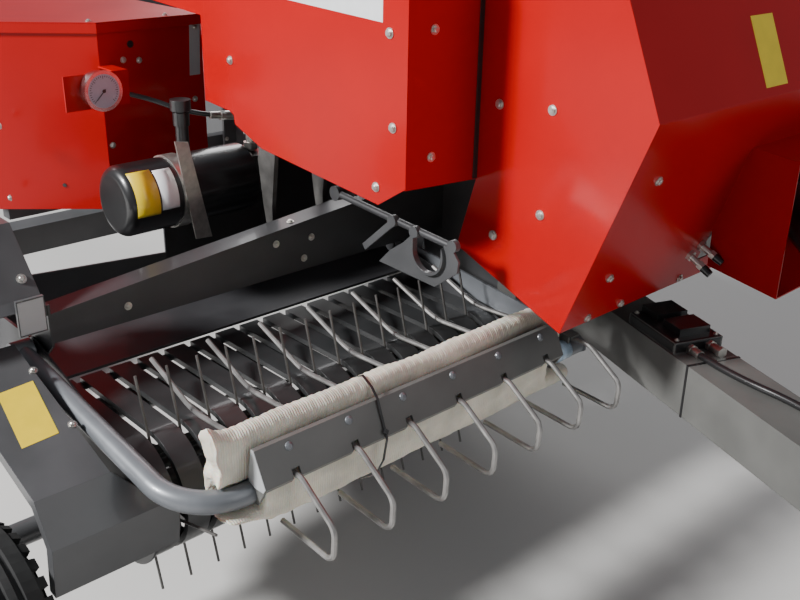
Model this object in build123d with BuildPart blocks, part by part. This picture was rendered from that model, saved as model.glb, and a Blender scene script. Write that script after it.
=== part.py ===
"""Small square baler, towed, with a side-feed pickup on the right of its drawbar.

The frame: +Z up, -Y forward along the bale case, +X to the machine's left.
The origin lies on the ground below the middle of the machine. Sizes are in millimetres.
"""

import os
from math import cos, hypot, radians, sin, tan

from build123d import *

os.makedirs("parts", exist_ok=True)

# Overall room on the ground: everything ends inside these half sizes
half_length = 2590
half_width = 1135

# Clearances
running_gap = 0.1
moving_gap = 6

# Bale case: its inside is the section of the bale
bale_width = 460
bale_height = 360
case_wall = 8
case_centre_x = 550
case_floor_z = 520
case_front_y = -1000
case_rear_y = 900
tension_rear_y = 1750
rib_depth = 46
rib_thickness = 10
case_right_x = case_centre_x - bale_width / 2 - case_wall
case_left_x = case_centre_x + bale_width / 2 + case_wall
case_under_z = case_floor_z - case_wall
case_roof_z = case_floor_z + bale_height
case_top_z = case_roof_z + case_wall

# Pickup reel, its tines and the stripper bands between them, lifted for the road
tine_pitch = 67
rod_pitch = 2 * tine_pitch
first_rod_x = 500 - half_width
rod_count = int((case_right_x - rib_depth - first_rod_x) // rod_pitch) + 1
tine_count = 2 * rod_count
tine_wire = 6
tine_bars = 4
reel_y = -962
reel_z = 403
tine_tip_radius = 238
tine_bar_radius = 71
tine_bar_wire = 20
first_bar_turn = 27
tine_lean = 31
reel_shaft = 40
band_radius = 127
band_width = 50
band_sheet = 3
band_flange = 12
band_rear_y = -680
band_foot_y = -704
band_foot_z = 296
first_tine_x = first_rod_x - 1.5 * tine_pitch
band_count = tine_count + 1
first_band_x = first_tine_x - tine_pitch / 2
last_band_x = first_band_x + (band_count - 1) * tine_pitch
band_top_z = reel_z + band_radius

# Pickup frame, hung on the same pins as the windguard
pickup_plate = 4
pickup_right_x = first_band_x - band_width / 2
pickup_left_x = last_band_x + band_width / 2
pivot_y = -640
pivot_z = 604
pivot_pin = 30
ear_radius = 26
cross_tube = 60
cross_tube_y = pivot_y
cross_tube_z = 410
cover_sheet = 4
cover_right_x = 135 - half_width
cover_left_x = cover_right_x + 139
cover_front_left_x = cover_right_x + 243
cover_flange = 22

# Windguard: bent tube, clamp plate and hooked rods
rod_wire = 11
guard_edge_y = -1310
guard_edge_z = 560
guard_tube = 42.4
guard_tube_y = guard_edge_y + 48
guard_tube_z = guard_edge_z - 31
guard_arm_x = pickup_right_x - pickup_plate - moving_gap - guard_tube / 2
guard_plate = 6
guard_left_x = pickup_left_x + pickup_plate + 5
foam_clearance = 0.3

# Drawbar, swung towards the pickup as it is for the road
drawbar_width = 130
drawbar_height = 120
drawbar_top_z = 580
drawbar_bottom_z = drawbar_top_z - drawbar_height
drawbar_pin = 50
drawbar_pin_x = 436
drawbar_pin_y = -1150
drawbar_swing = 22
hitch_pin_hole = 32
hitch_nose_half = 30
drawbar_reach = (half_length + drawbar_pin_y - hitch_nose_half * sin(radians(drawbar_swing))) / cos(
    radians(drawbar_swing)
)

# Driveline between the drawbar's cradle and the flywheel
joint_x = 560
joint_y = -1500
joint_z = 890
driveline_swing = 38.7
driveline_fall = 10.6
driveline_tube = 90
cradle_ahead = 1100
cradle_reach = (joint_y - drawbar_pin_y + cradle_ahead * cos(radians(drawbar_swing))) / (
    cos(radians(driveline_swing)) * cos(radians(driveline_fall))
)

# Wheels
axle_y = 650
tyre_diameter = 740
tyre_width = 250
rim_diameter = 388
axle_z = tyre_diameter / 2
wheel_room = 97
left_wheel_x = case_left_x + wheel_room + tyre_width / 2
right_wheel_x = 205 - half_width
spindle = 50
gauge_tyre_diameter = 370
gauge_tyre_width = 120
gauge_wheel_x = -half_width + gauge_tyre_width / 2
gauge_wheel_y = -1000
gauge_wheel_z = gauge_tyre_diameter / 2 + 95
gauge_spindle = 25

# Red sheet metal over the drive
skin = 3
hood_right_x = -35
hood_left_x = 900
hood_rear_y = -460
hood_top_z = 1420
shield_x = -235
shield_front_y = -1144


def block(x0, x1, y0, y1, z0, z1, mode=Mode.ADD):
    """A straight block between two corners."""
    with Locations(((x0 + x1) / 2, (y0 + y1) / 2, (z0 + z1) / 2)):
        Box(abs(x1 - x0), abs(y1 - y0), abs(z1 - z0), mode=mode)


def bar_x(x0, x1, y, z, diameter, mode=Mode.ADD):
    """A round bar across the machine."""
    with Locations(((x0 + x1) / 2, y, z)):
        Cylinder(diameter / 2, abs(x1 - x0), rotation=(0, 90, 0), mode=mode)


def bar_y(y0, y1, x, z, diameter, mode=Mode.ADD):
    """A round bar along the machine."""
    with Locations((x, (y0 + y1) / 2, z)):
        Cylinder(diameter / 2, abs(y1 - y0), rotation=(90, 0, 0), mode=mode)


def bar_z(z0, z1, x, y, diameter, mode=Mode.ADD):
    """An upright round bar."""
    with Locations((x, y, (z0 + z1) / 2)):
        Cylinder(diameter / 2, abs(z1 - z0), mode=mode)


def side_plate(x0, x1, outline, frame=Plane.XY, mode=Mode.ADD):
    """A plate seen from the side: its outline is a list of (y, z) corners."""
    start = frame.from_local_coords((x0, 0, 0))
    with BuildSketch(Plane(origin=start, x_dir=frame.y_dir, z_dir=frame.x_dir)) as profile:
        with BuildLine():
            Polyline(*outline, close=True)
        make_face()
    extrude(profile.sketch, amount=x1 - x0, mode=mode)


def front_plate(y0, y1, outline, frame=Plane.XY, mode=Mode.ADD):
    """A plate seen from the front: its outline is a list of (x, z) corners."""
    start = frame.from_local_coords((0, y1, 0))
    with BuildSketch(Plane(origin=start, x_dir=frame.x_dir, z_dir=-frame.y_dir)) as profile:
        with BuildLine():
            Polyline(*outline, close=True)
        make_face()
    extrude(profile.sketch, amount=y1 - y0, mode=mode)


def flat_plate(z0, z1, outline, frame=Plane.XY, mode=Mode.ADD):
    """A level plate: its outline is a list of (x, y) corners."""
    with BuildSketch(frame.offset(z0)) as profile:
        with BuildLine():
            Polyline(*outline, close=True)
        make_face()
    extrude(profile.sketch, amount=z1 - z0, mode=mode)


def rod_between(start, end, diameter, mode=Mode.ADD):
    """A round rod between two points."""
    run = Vector(*end) - Vector(*start)
    with BuildSketch(Plane(origin=start, z_dir=run)) as section:
        Circle(diameter / 2)
    extrude(section.sketch, amount=run.length, mode=mode)


def folded(path, sheet):
    """The closed outline of a folded sheet that lies on the left of its path."""
    steps = []
    for (ax, ay), (bx, by) in zip(path, path[1:]):
        length = hypot(bx - ax, by - ay)
        steps.append((-(by - ay) / length, (bx - ax) / length))
    inner = []
    for index, (px, py) in enumerate(path):
        before = steps[max(index - 1, 0)]
        after = steps[min(index, len(steps) - 1)]
        mitre = 1 + before[0] * after[0] + before[1] * after[1]
        inner.append(
            (
                px + sheet * (before[0] + after[0]) / mitre,
                py + sheet * (before[1] + after[1]) / mitre,
            )
        )
    return list(path) + inner[::-1]


def bend_radii(points):
    """The radius at each bend of a hose: as large as its two straight runs allow."""
    corners = [Vector(*point) for point in points]
    radii = []
    for before, corner, after in zip(corners, corners[1:], corners[2:]):
        arrival = corner - before
        departure = after - corner
        half_turn = radians(arrival.get_angle(departure)) / 2
        radii.append(round(0.45 * min(arrival.length, departure.length) / tan(half_turn), 1))
    return radii


# Bale case: a rectangular tube with the feed opening, the crank opening and the twine slots
feed_front_y = -640
feed_rear_y = -325
feed_height = 330
crank_opening_width = 300
crank_opening_rear_y = -420
twine_slot_width = 26
twine_slot_front_y = 20
twine_slot_rear_y = 150
twine_spacing = 230
metering_slot_front_y = 360
metering_slot_rear_y = 600
metering_slot_width = 34

with BuildPart() as bale_case:
    block(case_right_x, case_left_x, case_front_y, case_rear_y, case_under_z, case_top_z)
    block(
        case_right_x + case_wall,
        case_left_x - case_wall,
        case_front_y - 1,
        case_rear_y + 1,
        case_floor_z,
        case_roof_z,
        Mode.SUBTRACT,
    )
    block(
        case_right_x - 1,
        case_right_x + case_wall + 1,
        feed_front_y,
        feed_rear_y,
        case_floor_z,
        case_floor_z + feed_height,
        Mode.SUBTRACT,
    )
    block(
        case_centre_x - crank_opening_width / 2,
        case_centre_x + crank_opening_width / 2,
        case_front_y - 1,
        crank_opening_rear_y,
        case_roof_z - 1,
        case_top_z + 1,
        Mode.SUBTRACT,
    )
    for side in (-1, 1):
        slot_x = case_centre_x + side * twine_spacing / 2
        for slot_z in (case_under_z, case_roof_z):
            block(
                slot_x - twine_slot_width / 2,
                slot_x + twine_slot_width / 2,
                twine_slot_front_y,
                twine_slot_rear_y,
                slot_z - 1,
                slot_z + case_wall + 1,
                Mode.SUBTRACT,
            )
    block(
        case_centre_x - metering_slot_width / 2,
        case_centre_x + metering_slot_width / 2,
        metering_slot_front_y,
        metering_slot_rear_y,
        case_roof_z - 1,
        case_top_z + 1,
        Mode.SUBTRACT,
    )
bale_case.part.label = "bale_case"
export_step(bale_case.part, "parts/bale_case.step")

# Stiffening hoops on the sides and the roof of the bale case
rib_places = [case_front_y + 15, -35, 260, case_rear_y - 15]
with BuildPart() as case_ribs:
    for rib_y in rib_places:
        block(
            case_right_x - rib_depth,
            case_left_x + rib_depth,
            rib_y - rib_thickness / 2,
            rib_y + rib_thickness / 2,
            case_under_z,
            case_top_z + rib_depth,
        )
        block(
            case_right_x,
            case_left_x,
            rib_y - rib_thickness,
            rib_y + rib_thickness,
            case_under_z - 1,
            case_top_z,
            Mode.SUBTRACT,
        )
case_ribs.part.label = "case_ribs"
export_step(case_ribs.part, "parts/case_ribs.step")

# Tension section: floor and sides of the last stretch of the case
tension_side_height = 300
tension_slot_height = 90
with BuildPart() as tension_case:
    for wall_x in (case_right_x, case_left_x - case_wall):
        block(
            wall_x,
            wall_x + case_wall,
            case_rear_y,
            tension_rear_y,
            case_under_z,
            case_floor_z + tension_side_height,
        )
        block(
            wall_x - 1,
            wall_x + case_wall + 1,
            case_rear_y + 100,
            tension_rear_y - 100,
            case_floor_z + 110,
            case_floor_z + 110 + tension_slot_height,
            Mode.SUBTRACT,
        )
    block(case_right_x, case_left_x, case_rear_y, tension_rear_y, case_under_z, case_floor_z)
tension_case.part.label = "tension_case"
export_step(tension_case.part, "parts/tension_case.step")

# Top rails that squeeze the bale, and the yoke across them
tension_rail_width = 110
tension_rail_height = 60
yoke_y = 1480
yoke_size = 70
yoke_reach = 320
yoke_top_z = case_roof_z + tension_rail_height
with BuildPart() as tension_rails:
    for side in (-1, 1):
        rail_x = case_centre_x + side * 130
        block(
            rail_x - tension_rail_width / 2,
            rail_x + tension_rail_width / 2,
            case_rear_y,
            tension_rear_y,
            case_roof_z,
            yoke_top_z,
        )
    block(
        case_centre_x - yoke_reach,
        case_centre_x + yoke_reach,
        yoke_y - yoke_size / 2,
        yoke_y + yoke_size / 2,
        yoke_top_z,
        yoke_top_z + yoke_size,
    )
tension_rails.part.label = "tension_rails"
export_step(tension_rails.part, "parts/tension_rails.step")

# Squeeze cylinders at the sides and the lower yoke that holds them
cylinder_barrel = 64
cylinder_rod = 30
cylinder_barrel_length = 230
cylinder_offset = yoke_reach - yoke_size / 2
with BuildPart() as density_cylinders:
    block(
        case_centre_x - yoke_reach,
        case_centre_x + yoke_reach,
        yoke_y - yoke_size / 2,
        yoke_y + yoke_size / 2,
        case_under_z - yoke_size,
        case_under_z,
    )
    for side in (-1, 1):
        cylinder_x = case_centre_x + side * cylinder_offset
        barrel_top = case_under_z + cylinder_barrel_length
        bar_z(case_under_z, barrel_top, cylinder_x, yoke_y, cylinder_barrel)
        bar_z(barrel_top, yoke_top_z, cylinder_x, yoke_y, cylinder_rod)
density_cylinders.part.label = "density_cylinders"
export_step(density_cylinders.part, "parts/density_cylinders.step")

# Main frame: two rails under the case, the front beam, the hinge plates and the gearbox stand
rail_width = 70
rail_height = 90
rail_offset = 180
rail_rear_y = axle_y + 60
rail_bottom_z = case_under_z - rail_height
front_beam_y = case_front_y - 60
plate_gap = 8
hinge_plate = 12
hinge_reach = 75
upper_plate_z = drawbar_top_z + plate_gap
lower_plate_z = drawbar_bottom_z - plate_gap - hinge_plate
front_beam_half = 330
gearbox_width = 250
gearbox_front_y = -1190
gearbox_rear_y = -1010
gearbox_bottom_z = 770
gearbox_top_z = 1010
with BuildPart() as main_frame:
    for side in (-1, 1):
        rail_x = case_centre_x + side * rail_offset
        block(
            rail_x - rail_width / 2,
            rail_x + rail_width / 2,
            front_beam_y,
            rail_rear_y,
            rail_bottom_z,
            case_under_z,
        )
    block(
        case_centre_x - front_beam_half,
        case_centre_x + front_beam_half,
        front_beam_y,
        case_front_y,
        lower_plate_z,
        upper_plate_z + hinge_plate,
    )
    for plate_z in (lower_plate_z, upper_plate_z):
        with BuildSketch(Plane.XY.offset(plate_z)) as hinge_outline:
            with Locations((drawbar_pin_x, drawbar_pin_y)):
                Circle(hinge_reach)
            with Locations((drawbar_pin_x, (drawbar_pin_y + front_beam_y) / 2)):
                Rectangle(2 * hinge_reach, front_beam_y - drawbar_pin_y)
            with Locations((drawbar_pin_x, drawbar_pin_y)):
                Circle(drawbar_pin / 2, mode=Mode.SUBTRACT)
        extrude(hinge_outline.sketch, amount=hinge_plate)
    for side in (-1, 1):
        post_x = joint_x + side * (gearbox_width / 2 - 12)
        block(
            post_x - 12,
            post_x + 12,
            front_beam_y,
            case_front_y - 8,
            upper_plate_z + hinge_plate,
            gearbox_bottom_z,
        )
main_frame.part.label = "main_frame"
export_step(main_frame.part, "parts/main_frame.step")

pin_head = 74
pin_head_height = 10
with BuildPart() as drawbar_hinge_pin:
    bar_z(
        lower_plate_z - 6,
        upper_plate_z + hinge_plate + pin_head_height,
        drawbar_pin_x,
        drawbar_pin_y,
        drawbar_pin,
    )
    bar_z(
        upper_plate_z + hinge_plate,
        upper_plate_z + hinge_plate + pin_head_height,
        drawbar_pin_x,
        drawbar_pin_y,
        pin_head,
    )
drawbar_hinge_pin.part.label = "drawbar_hinge_pin"
export_step(drawbar_hinge_pin.part, "parts/drawbar_hinge_pin.step")

# Axle: a square beam under the rails with a spindle at each end
axle_size = 90
left_beam_end = left_wheel_x - tyre_width / 2 - 20
right_beam_end = right_wheel_x + tyre_width / 2 + 20
spindle_end = 66
with BuildPart() as axle:
    block(
        right_beam_end,
        left_beam_end,
        axle_y - axle_size / 2,
        axle_y + axle_size / 2,
        rail_bottom_z - axle_size,
        rail_bottom_z,
    )
    bar_x(left_beam_end, left_wheel_x + spindle_end, axle_y, axle_z, spindle)
    bar_x(right_beam_end, right_wheel_x - spindle_end, axle_y, axle_z, spindle)
axle.part.label = "axle"
export_step(axle.part, "parts/axle.step")

# Pressed steel wheels: rim, dished disc and hub round the spindle
rim_radius = rim_diameter / 2
hub_radius = 62
rim_outline = [
    (rim_radius - 32, -66),
    (rim_radius + 12, -106),
    (rim_radius + 12, -99),
    (rim_radius - 6, -84),
    (rim_radius - 24, -60),
    (rim_radius - 24, 60),
    (rim_radius - 6, 84),
    (rim_radius + 12, 99),
    (rim_radius + 12, 106),
    (rim_radius - 32, 66),
    (rim_radius - 32, 40),
    (130, 30),
    (100, 10),
    (hub_radius, 10),
    (hub_radius, 64),
    (spindle / 2 + running_gap, 64),
    (spindle / 2 + running_gap, -40),
    (hub_radius, -40),
    (hub_radius, 2),
    (104, 2),
    (136, 22),
    (rim_radius - 32, 30),
]
tyre_radius = tyre_diameter / 2
tyre_half = tyre_width / 2
groove_depth = 12
tyre_outline = [
    (rim_radius + 12.3, -98),
    (rim_radius + 60, -tyre_half),
    (tyre_radius - 90, -tyre_half),
    (tyre_radius - 22, -tyre_half + 22),
    (tyre_radius, -tyre_half + 52),
    (tyre_radius, -40),
    (tyre_radius - groove_depth, -34),
    (tyre_radius - groove_depth, 34),
    (tyre_radius, 40),
    (tyre_radius, tyre_half - 52),
    (tyre_radius - 22, tyre_half - 22),
    (tyre_radius - 90, tyre_half),
    (rim_radius + 60, tyre_half),
    (rim_radius + 12.3, 98),
    (rim_radius - 5, 83),
    (rim_radius + 60, 60),
    (rim_radius + 60, -60),
    (rim_radius - 5, -83),
]


def turned(centre, side, outline):
    """A ring about a cross shaft: its outline is a list of (radius, outward) corners."""
    with BuildSketch(Plane(origin=centre, x_dir=(0, 0, 1), z_dir=(0, side, 0))) as section:
        with BuildLine():
            Polyline(*outline, close=True)
        make_face()
    revolve(section.sketch, axis=Axis(centre, (1, 0, 0)))


with BuildPart() as left_rim:
    turned((left_wheel_x, axle_y, axle_z), 1, rim_outline)
left_rim.part.label = "left_rim"
export_step(left_rim.part, "parts/left_rim.step")

with BuildPart() as left_tyre:
    turned((left_wheel_x, axle_y, axle_z), 1, tyre_outline)
left_tyre.part.label = "left_tyre"
export_step(left_tyre.part, "parts/left_tyre.step")

with BuildPart() as right_rim:
    turned((right_wheel_x, axle_y, axle_z), -1, rim_outline)
right_rim.part.label = "right_rim"
export_step(right_rim.part, "parts/right_rim.step")

with BuildPart() as right_tyre:
    turned((right_wheel_x, axle_y, axle_z), -1, tyre_outline)
right_tyre.part.label = "right_tyre"
export_step(right_tyre.part, "parts/right_tyre.step")

# Cross beam: the deep tapered channel over the back of the pickup, and its pivot pins
beam_y = -712
beam_depth = 60
beam_sheet = 6
beam_low_z = 638
beam_right_top_z = 702
beam_left_top_z = 800
beam_right_x = first_rod_x - 149
beam_left_x = case_right_x
bracket_plate = 6
left_bracket_x = guard_left_x + 6 + moving_gap
with BuildPart() as cross_beam:
    front_plate(
        beam_y,
        beam_y + beam_sheet,
        [
            (beam_right_x, beam_low_z),
            (beam_left_x, beam_low_z),
            (beam_left_x, beam_left_top_z),
            (beam_right_x, beam_right_top_z),
        ],
    )
    front_plate(
        beam_y,
        beam_y + beam_depth,
        [
            (beam_right_x, beam_right_top_z - beam_sheet),
            (beam_left_x, beam_left_top_z - beam_sheet),
            (beam_left_x, beam_left_top_z),
            (beam_right_x, beam_right_top_z),
        ],
    )
    block(beam_right_x, beam_left_x, beam_y, beam_y + beam_depth, beam_low_z, beam_low_z + beam_sheet)
    side_plate(
        beam_right_x - bracket_plate,
        beam_right_x,
        [
            (beam_y, beam_low_z - 6),
            (pivot_y - ear_radius, pivot_z - 14),
            (pivot_y - 14, pivot_z - ear_radius),
            (pivot_y + 14, pivot_z - ear_radius),
            (pivot_y + ear_radius, pivot_z - 14),
            (pivot_y + ear_radius, beam_right_top_z + 20),
            (beam_y, beam_right_top_z + 20),
        ],
    )
    bar_x(
        guard_arm_x - guard_tube / 2 - 4,
        beam_right_x,
        pivot_y,
        pivot_z,
        pivot_pin,
    )
    side_plate(
        left_bracket_x,
        left_bracket_x + bracket_plate,
        [
            (pivot_y - 40, beam_low_z),
            (pivot_y - 14, pivot_z - ear_radius),
            (pivot_y + 14, pivot_z - ear_radius),
            (pivot_y + ear_radius, beam_low_z),
            (pivot_y + ear_radius, beam_low_z + 40),
            (beam_y + beam_sheet, beam_low_z + 40),
            (beam_y + beam_sheet, beam_low_z),
        ],
    )
    bar_x(
        pickup_left_x - 6,
        left_bracket_x + bracket_plate,
        pivot_y,
        pivot_z,
        pivot_pin,
    )
cross_beam.part.label = "cross_beam"
export_step(cross_beam.part, "parts/cross_beam.step")

# Feed trough: floor, rear wall and end wall, from the pickup to the feed opening
trough_sheet = 6
trough_floor_z = case_floor_z
trough_front_y = band_rear_y + 37
trough_rear_right_y = -215
trough_rear_left_y = feed_rear_y + trough_sheet
trough_bend_x = -304
trough_low_wall_z = 606
trough_high_wall_z = 800
with BuildPart() as feed_trough:
    flat_plate(
        trough_floor_z - trough_sheet,
        trough_floor_z,
        [
            (beam_right_x, trough_front_y),
            (case_right_x, trough_front_y),
            (case_right_x, trough_rear_left_y),
            (trough_bend_x, trough_rear_left_y),
            (beam_right_x, trough_rear_right_y),
        ],
    )
    flat_plate(
        trough_floor_z - trough_sheet,
        trough_low_wall_z,
        [
            (trough_bend_x, trough_rear_left_y - trough_sheet),
            (trough_bend_x, trough_rear_left_y),
            (beam_right_x, trough_rear_right_y),
            (beam_right_x, trough_rear_right_y - trough_sheet),
        ],
    )
    block(
        trough_bend_x,
        case_right_x,
        trough_rear_left_y - trough_sheet,
        trough_rear_left_y,
        trough_floor_z - trough_sheet,
        trough_high_wall_z,
    )
    block(
        beam_right_x,
        beam_right_x + trough_sheet,
        trough_front_y,
        trough_rear_right_y,
        trough_floor_z - trough_sheet,
        trough_low_wall_z,
    )
feed_trough.part.label = "feed_trough"
export_step(feed_trough.part, "parts/feed_trough.step")

# Stripper bands: flanged sheet strips round the reel, with slots between them for the tines
slot_width = tine_pitch - band_width
flange_sheet = 3
carrier_depth = 26


def band_strip(x0, x1, outer, inner, mode=Mode.ADD):
    """A strip along the bands, between two depths under their face."""
    face_top = band_top_z - outer
    back_top = band_top_z - inner
    face_radius = band_radius - outer
    back_radius = band_radius - inner
    with BuildSketch(Plane.YZ.offset(x0)) as strip:
        with BuildLine():
            Line((band_rear_y, face_top), (reel_y, face_top))
            ThreePointArc((reel_y, face_top), (reel_y - face_radius, reel_z), (reel_y, reel_z - face_radius))
            Line((reel_y, reel_z - face_radius), (band_foot_y, band_foot_z + outer))
            Line((band_foot_y, band_foot_z + outer), (band_foot_y, band_foot_z + inner))
            Line((band_foot_y, band_foot_z + inner), (reel_y, reel_z - back_radius))
            ThreePointArc((reel_y, reel_z - back_radius), (reel_y - back_radius, reel_z), (reel_y, back_top))
            Line((reel_y, back_top), (band_rear_y, back_top))
            Line((band_rear_y, back_top), (band_rear_y, face_top))
        make_face()
    extrude(strip.sketch, amount=x1 - x0, mode=mode)


with BuildPart() as stripper_bands:
    band_strip(pickup_right_x, pickup_left_x, 0, band_flange)
    for index in range(band_count):
        band_x = first_band_x + index * tine_pitch
        pocket_half = band_width / 2 - flange_sheet
        band_strip(band_x - pocket_half, band_x + pocket_half, band_sheet, band_flange + 2, Mode.SUBTRACT)
    with BuildSketch(Plane.XZ.offset(-band_rear_y - 1)) as tine_slots:
        for index in range(tine_count):
            with Locations((first_tine_x + index * tine_pitch, reel_z)):
                Rectangle(slot_width, 3 * band_radius)
    extrude(tine_slots.sketch, amount=2 * band_radius + 400, mode=Mode.SUBTRACT)
    block(
        pickup_right_x,
        pickup_left_x,
        band_rear_y - carrier_depth,
        band_rear_y,
        band_top_z - band_flange - 6,
        band_top_z - band_flange,
    )
    block(
        pickup_right_x,
        pickup_left_x,
        band_foot_y - carrier_depth,
        band_foot_y,
        band_foot_z + band_flange,
        band_foot_z + band_flange + 6,
    )
stripper_bands.part.label = "stripper_bands"
export_step(stripper_bands.part, "parts/stripper_bands.step")

# Pickup frame: an end plate each side, the cross tube behind the reel and its drive bearing
end_plate_radius = band_radius + 6
gauge_arm_tube = 50
gauge_arm_tube_y = -800
gauge_arm_tube_z = 300
end_plate_web = [
    (reel_y, reel_z + end_plate_radius),
    (pivot_y - 12, pivot_z + ear_radius - 3),
    (pivot_y - 22, pivot_z - 14),
    (band_rear_y - 10, band_top_z - 30),
    (cross_tube_y - 10, cross_tube_z + 50),
    (cross_tube_y + 36, cross_tube_z),
    (cross_tube_y, cross_tube_z - 40),
    (gauge_arm_tube_y + 20, gauge_arm_tube_z - 38),
    (reel_y, reel_z - end_plate_radius),
]
bearing_tube = 70
with BuildPart() as pickup_frame:
    for plate_x in (pickup_right_x - pickup_plate, pickup_left_x):
        with BuildSketch(Plane.YZ.offset(plate_x)) as end_plate:
            with Locations((reel_y, reel_z)):
                Circle(end_plate_radius)
            with Locations((pivot_y, pivot_z)):
                Circle(ear_radius)
            with BuildLine():
                Polyline(*end_plate_web, close=True)
            make_face()
            with Locations((pivot_y, pivot_z)):
                Circle(pivot_pin / 2 + running_gap, mode=Mode.SUBTRACT)
        extrude(end_plate.sketch, amount=pickup_plate)
    bar_x(pickup_right_x, pickup_left_x, cross_tube_y, cross_tube_z, cross_tube)
    bar_x(cover_left_x, pickup_right_x - pickup_plate, reel_y, reel_z, bearing_tube)
    bar_x(
        cover_left_x - 1,
        pickup_left_x + pickup_plate + 1,
        reel_y,
        reel_z,
        reel_shaft + 2 * running_gap,
        Mode.SUBTRACT,
    )
pickup_frame.part.label = "pickup_frame"
export_step(pickup_frame.part, "parts/pickup_frame.step")

# Reel: shaft, end discs, tine bars and the spring tines that pass between the bands
sprocket_x = cover_left_x - 26
sprocket_diameter = 180
with BuildPart() as tine_reel:
    bar_x(sprocket_x - 12, pickup_left_x + pickup_plate + 2, reel_y, reel_z, reel_shaft)
    bar_x(sprocket_x - 4, sprocket_x + 4, reel_y, reel_z, sprocket_diameter)
    for disc_x in (pickup_right_x + 8, pickup_left_x - 14):
        bar_x(disc_x, disc_x + 6, reel_y, reel_z, 2 * tine_bar_radius + 40)
    for bar_index in range(tine_bars):
        bar_turn = radians(first_bar_turn + 360 / tine_bars * bar_index)
        bar_y0 = reel_y - tine_bar_radius * sin(bar_turn)
        bar_z0 = reel_z + tine_bar_radius * cos(bar_turn)
        bar_x(pickup_right_x + 8, pickup_left_x - 8, bar_y0, bar_z0, tine_bar_wire)
        tip_turn = bar_turn - radians(tine_lean)
        tip_y = reel_y - tine_tip_radius * sin(tip_turn)
        tip_z = reel_z + tine_tip_radius * cos(tip_turn)
        tine_plane = Plane(
            origin=(0, bar_y0, bar_z0),
            x_dir=(1, 0, 0),
            z_dir=(0, tip_y - bar_y0, tip_z - bar_z0),
        )
        with BuildSketch(tine_plane) as tine_row:
            for tine_index in range(tine_count):
                with Locations((first_tine_x + tine_index * tine_pitch, 0)):
                    RegularPolygon(tine_wire / 2, 6)
        extrude(tine_row.sketch, amount=hypot(tip_y - bar_y0, tip_z - bar_z0))
tine_reel.part.label = "tine_reel"
export_step(tine_reel.part, "parts/tine_reel.step")

# Outboard cover: folded sheet over the reel drive, its front faces reaching in under the windguard
cover_path = [
    (-1104, 365),
    (-1117, 468),
    (-1068, 542),
    (-704, 657),
]
cover_rear_y = cover_path[3][0]
with BuildPart() as reel_drive_cover:
    side_plate(cover_left_x, cover_front_left_x, folded(cover_path[:3], -cover_sheet))
    front_plate(
        cover_path[1][0] - 10,
        cover_path[2][0] + 10,
        [
            (cover_left_x, cover_path[2][1] + 1),
            (cover_front_left_x + 0.1, cover_path[1][1] - 30),
            (cover_front_left_x + 0.1, cover_path[2][1] + 1),
        ],
        mode=Mode.SUBTRACT,
    )
    side_plate(cover_right_x, cover_left_x, folded(cover_path, -cover_sheet))
    side_plate(
        cover_right_x,
        cover_right_x + cover_sheet,
        folded(cover_path, -cover_flange),
    )
    side_plate(
        cover_left_x - cover_sheet,
        cover_left_x,
        cover_path[1:]
        + [
            (cover_rear_y, reel_z - 45),
            (reel_y + 60, reel_z - 60),
            (reel_y - 60, reel_z - 60),
        ],
    )
    bar_x(
        cover_left_x - cover_sheet - 1,
        cover_left_x + 1,
        reel_y,
        reel_z,
        reel_shaft + 2 * running_gap,
        Mode.SUBTRACT,
    )
reel_drive_cover.part.label = "reel_drive_cover"
export_step(reel_drive_cover.part, "parts/reel_drive_cover.step")

# Arm and stub axle of the gauge wheel, on a cross tube from the pickup's end plate
gauge_arm_x = cover_right_x - 8
with BuildPart() as gauge_wheel_arm:
    bar_x(
        gauge_arm_x,
        pickup_right_x - pickup_plate,
        gauge_arm_tube_y,
        gauge_arm_tube_z,
        gauge_arm_tube,
    )
    side_plate(
        gauge_arm_x,
        gauge_arm_x + 8,
        [
            (gauge_wheel_y - 30, gauge_wheel_z - 20),
            (gauge_wheel_y + 20, gauge_wheel_z - 30),
            (gauge_arm_tube_y + 40, gauge_arm_tube_z - 30),
            (gauge_arm_tube_y + 40, gauge_arm_tube_z + 40),
            (gauge_arm_tube_y - 40, gauge_arm_tube_z + 40),
            (gauge_wheel_y - 30, gauge_wheel_z + 30),
        ],
    )
    bar_x(
        gauge_wheel_x - gauge_tyre_width / 2 + 8,
        gauge_arm_x,
        gauge_wheel_y,
        gauge_wheel_z,
        gauge_spindle,
    )
gauge_wheel_arm.part.label = "gauge_wheel_arm"
export_step(gauge_wheel_arm.part, "parts/gauge_wheel_arm.step")

gauge_rim_radius = 100
gauge_half = gauge_tyre_width / 2
gauge_rim_outline = [
    (gauge_spindle / 2 + running_gap, -gauge_half + 14),
    (30, -gauge_half + 14),
    (30, -8),
    (gauge_rim_radius - 6, -8),
    (gauge_rim_radius - 6, -gauge_half + 8),
    (gauge_rim_radius + 8, -gauge_half + 8),
    (gauge_rim_radius, -gauge_half + 16),
    (gauge_rim_radius, gauge_half - 16),
    (gauge_rim_radius + 8, gauge_half - 8),
    (gauge_rim_radius - 6, gauge_half - 8),
    (gauge_rim_radius - 6, -2),
    (30, -2),
    (30, gauge_half - 10),
    (gauge_spindle / 2 + running_gap, gauge_half - 10),
]
gauge_tyre_radius = gauge_tyre_diameter / 2
gauge_tyre_outline = [
    (gauge_rim_radius + 0.3, -gauge_half + 18),
    (gauge_rim_radius + 12, -gauge_half + 4),
    (gauge_tyre_radius - 40, -gauge_half),
    (gauge_tyre_radius - 8, -gauge_half + 18),
    (gauge_tyre_radius, -gauge_half + 40),
    (gauge_tyre_radius, gauge_half - 40),
    (gauge_tyre_radius - 8, gauge_half - 18),
    (gauge_tyre_radius - 40, gauge_half),
    (gauge_rim_radius + 12, gauge_half - 4),
    (gauge_rim_radius + 0.3, gauge_half - 18),
]
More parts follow.
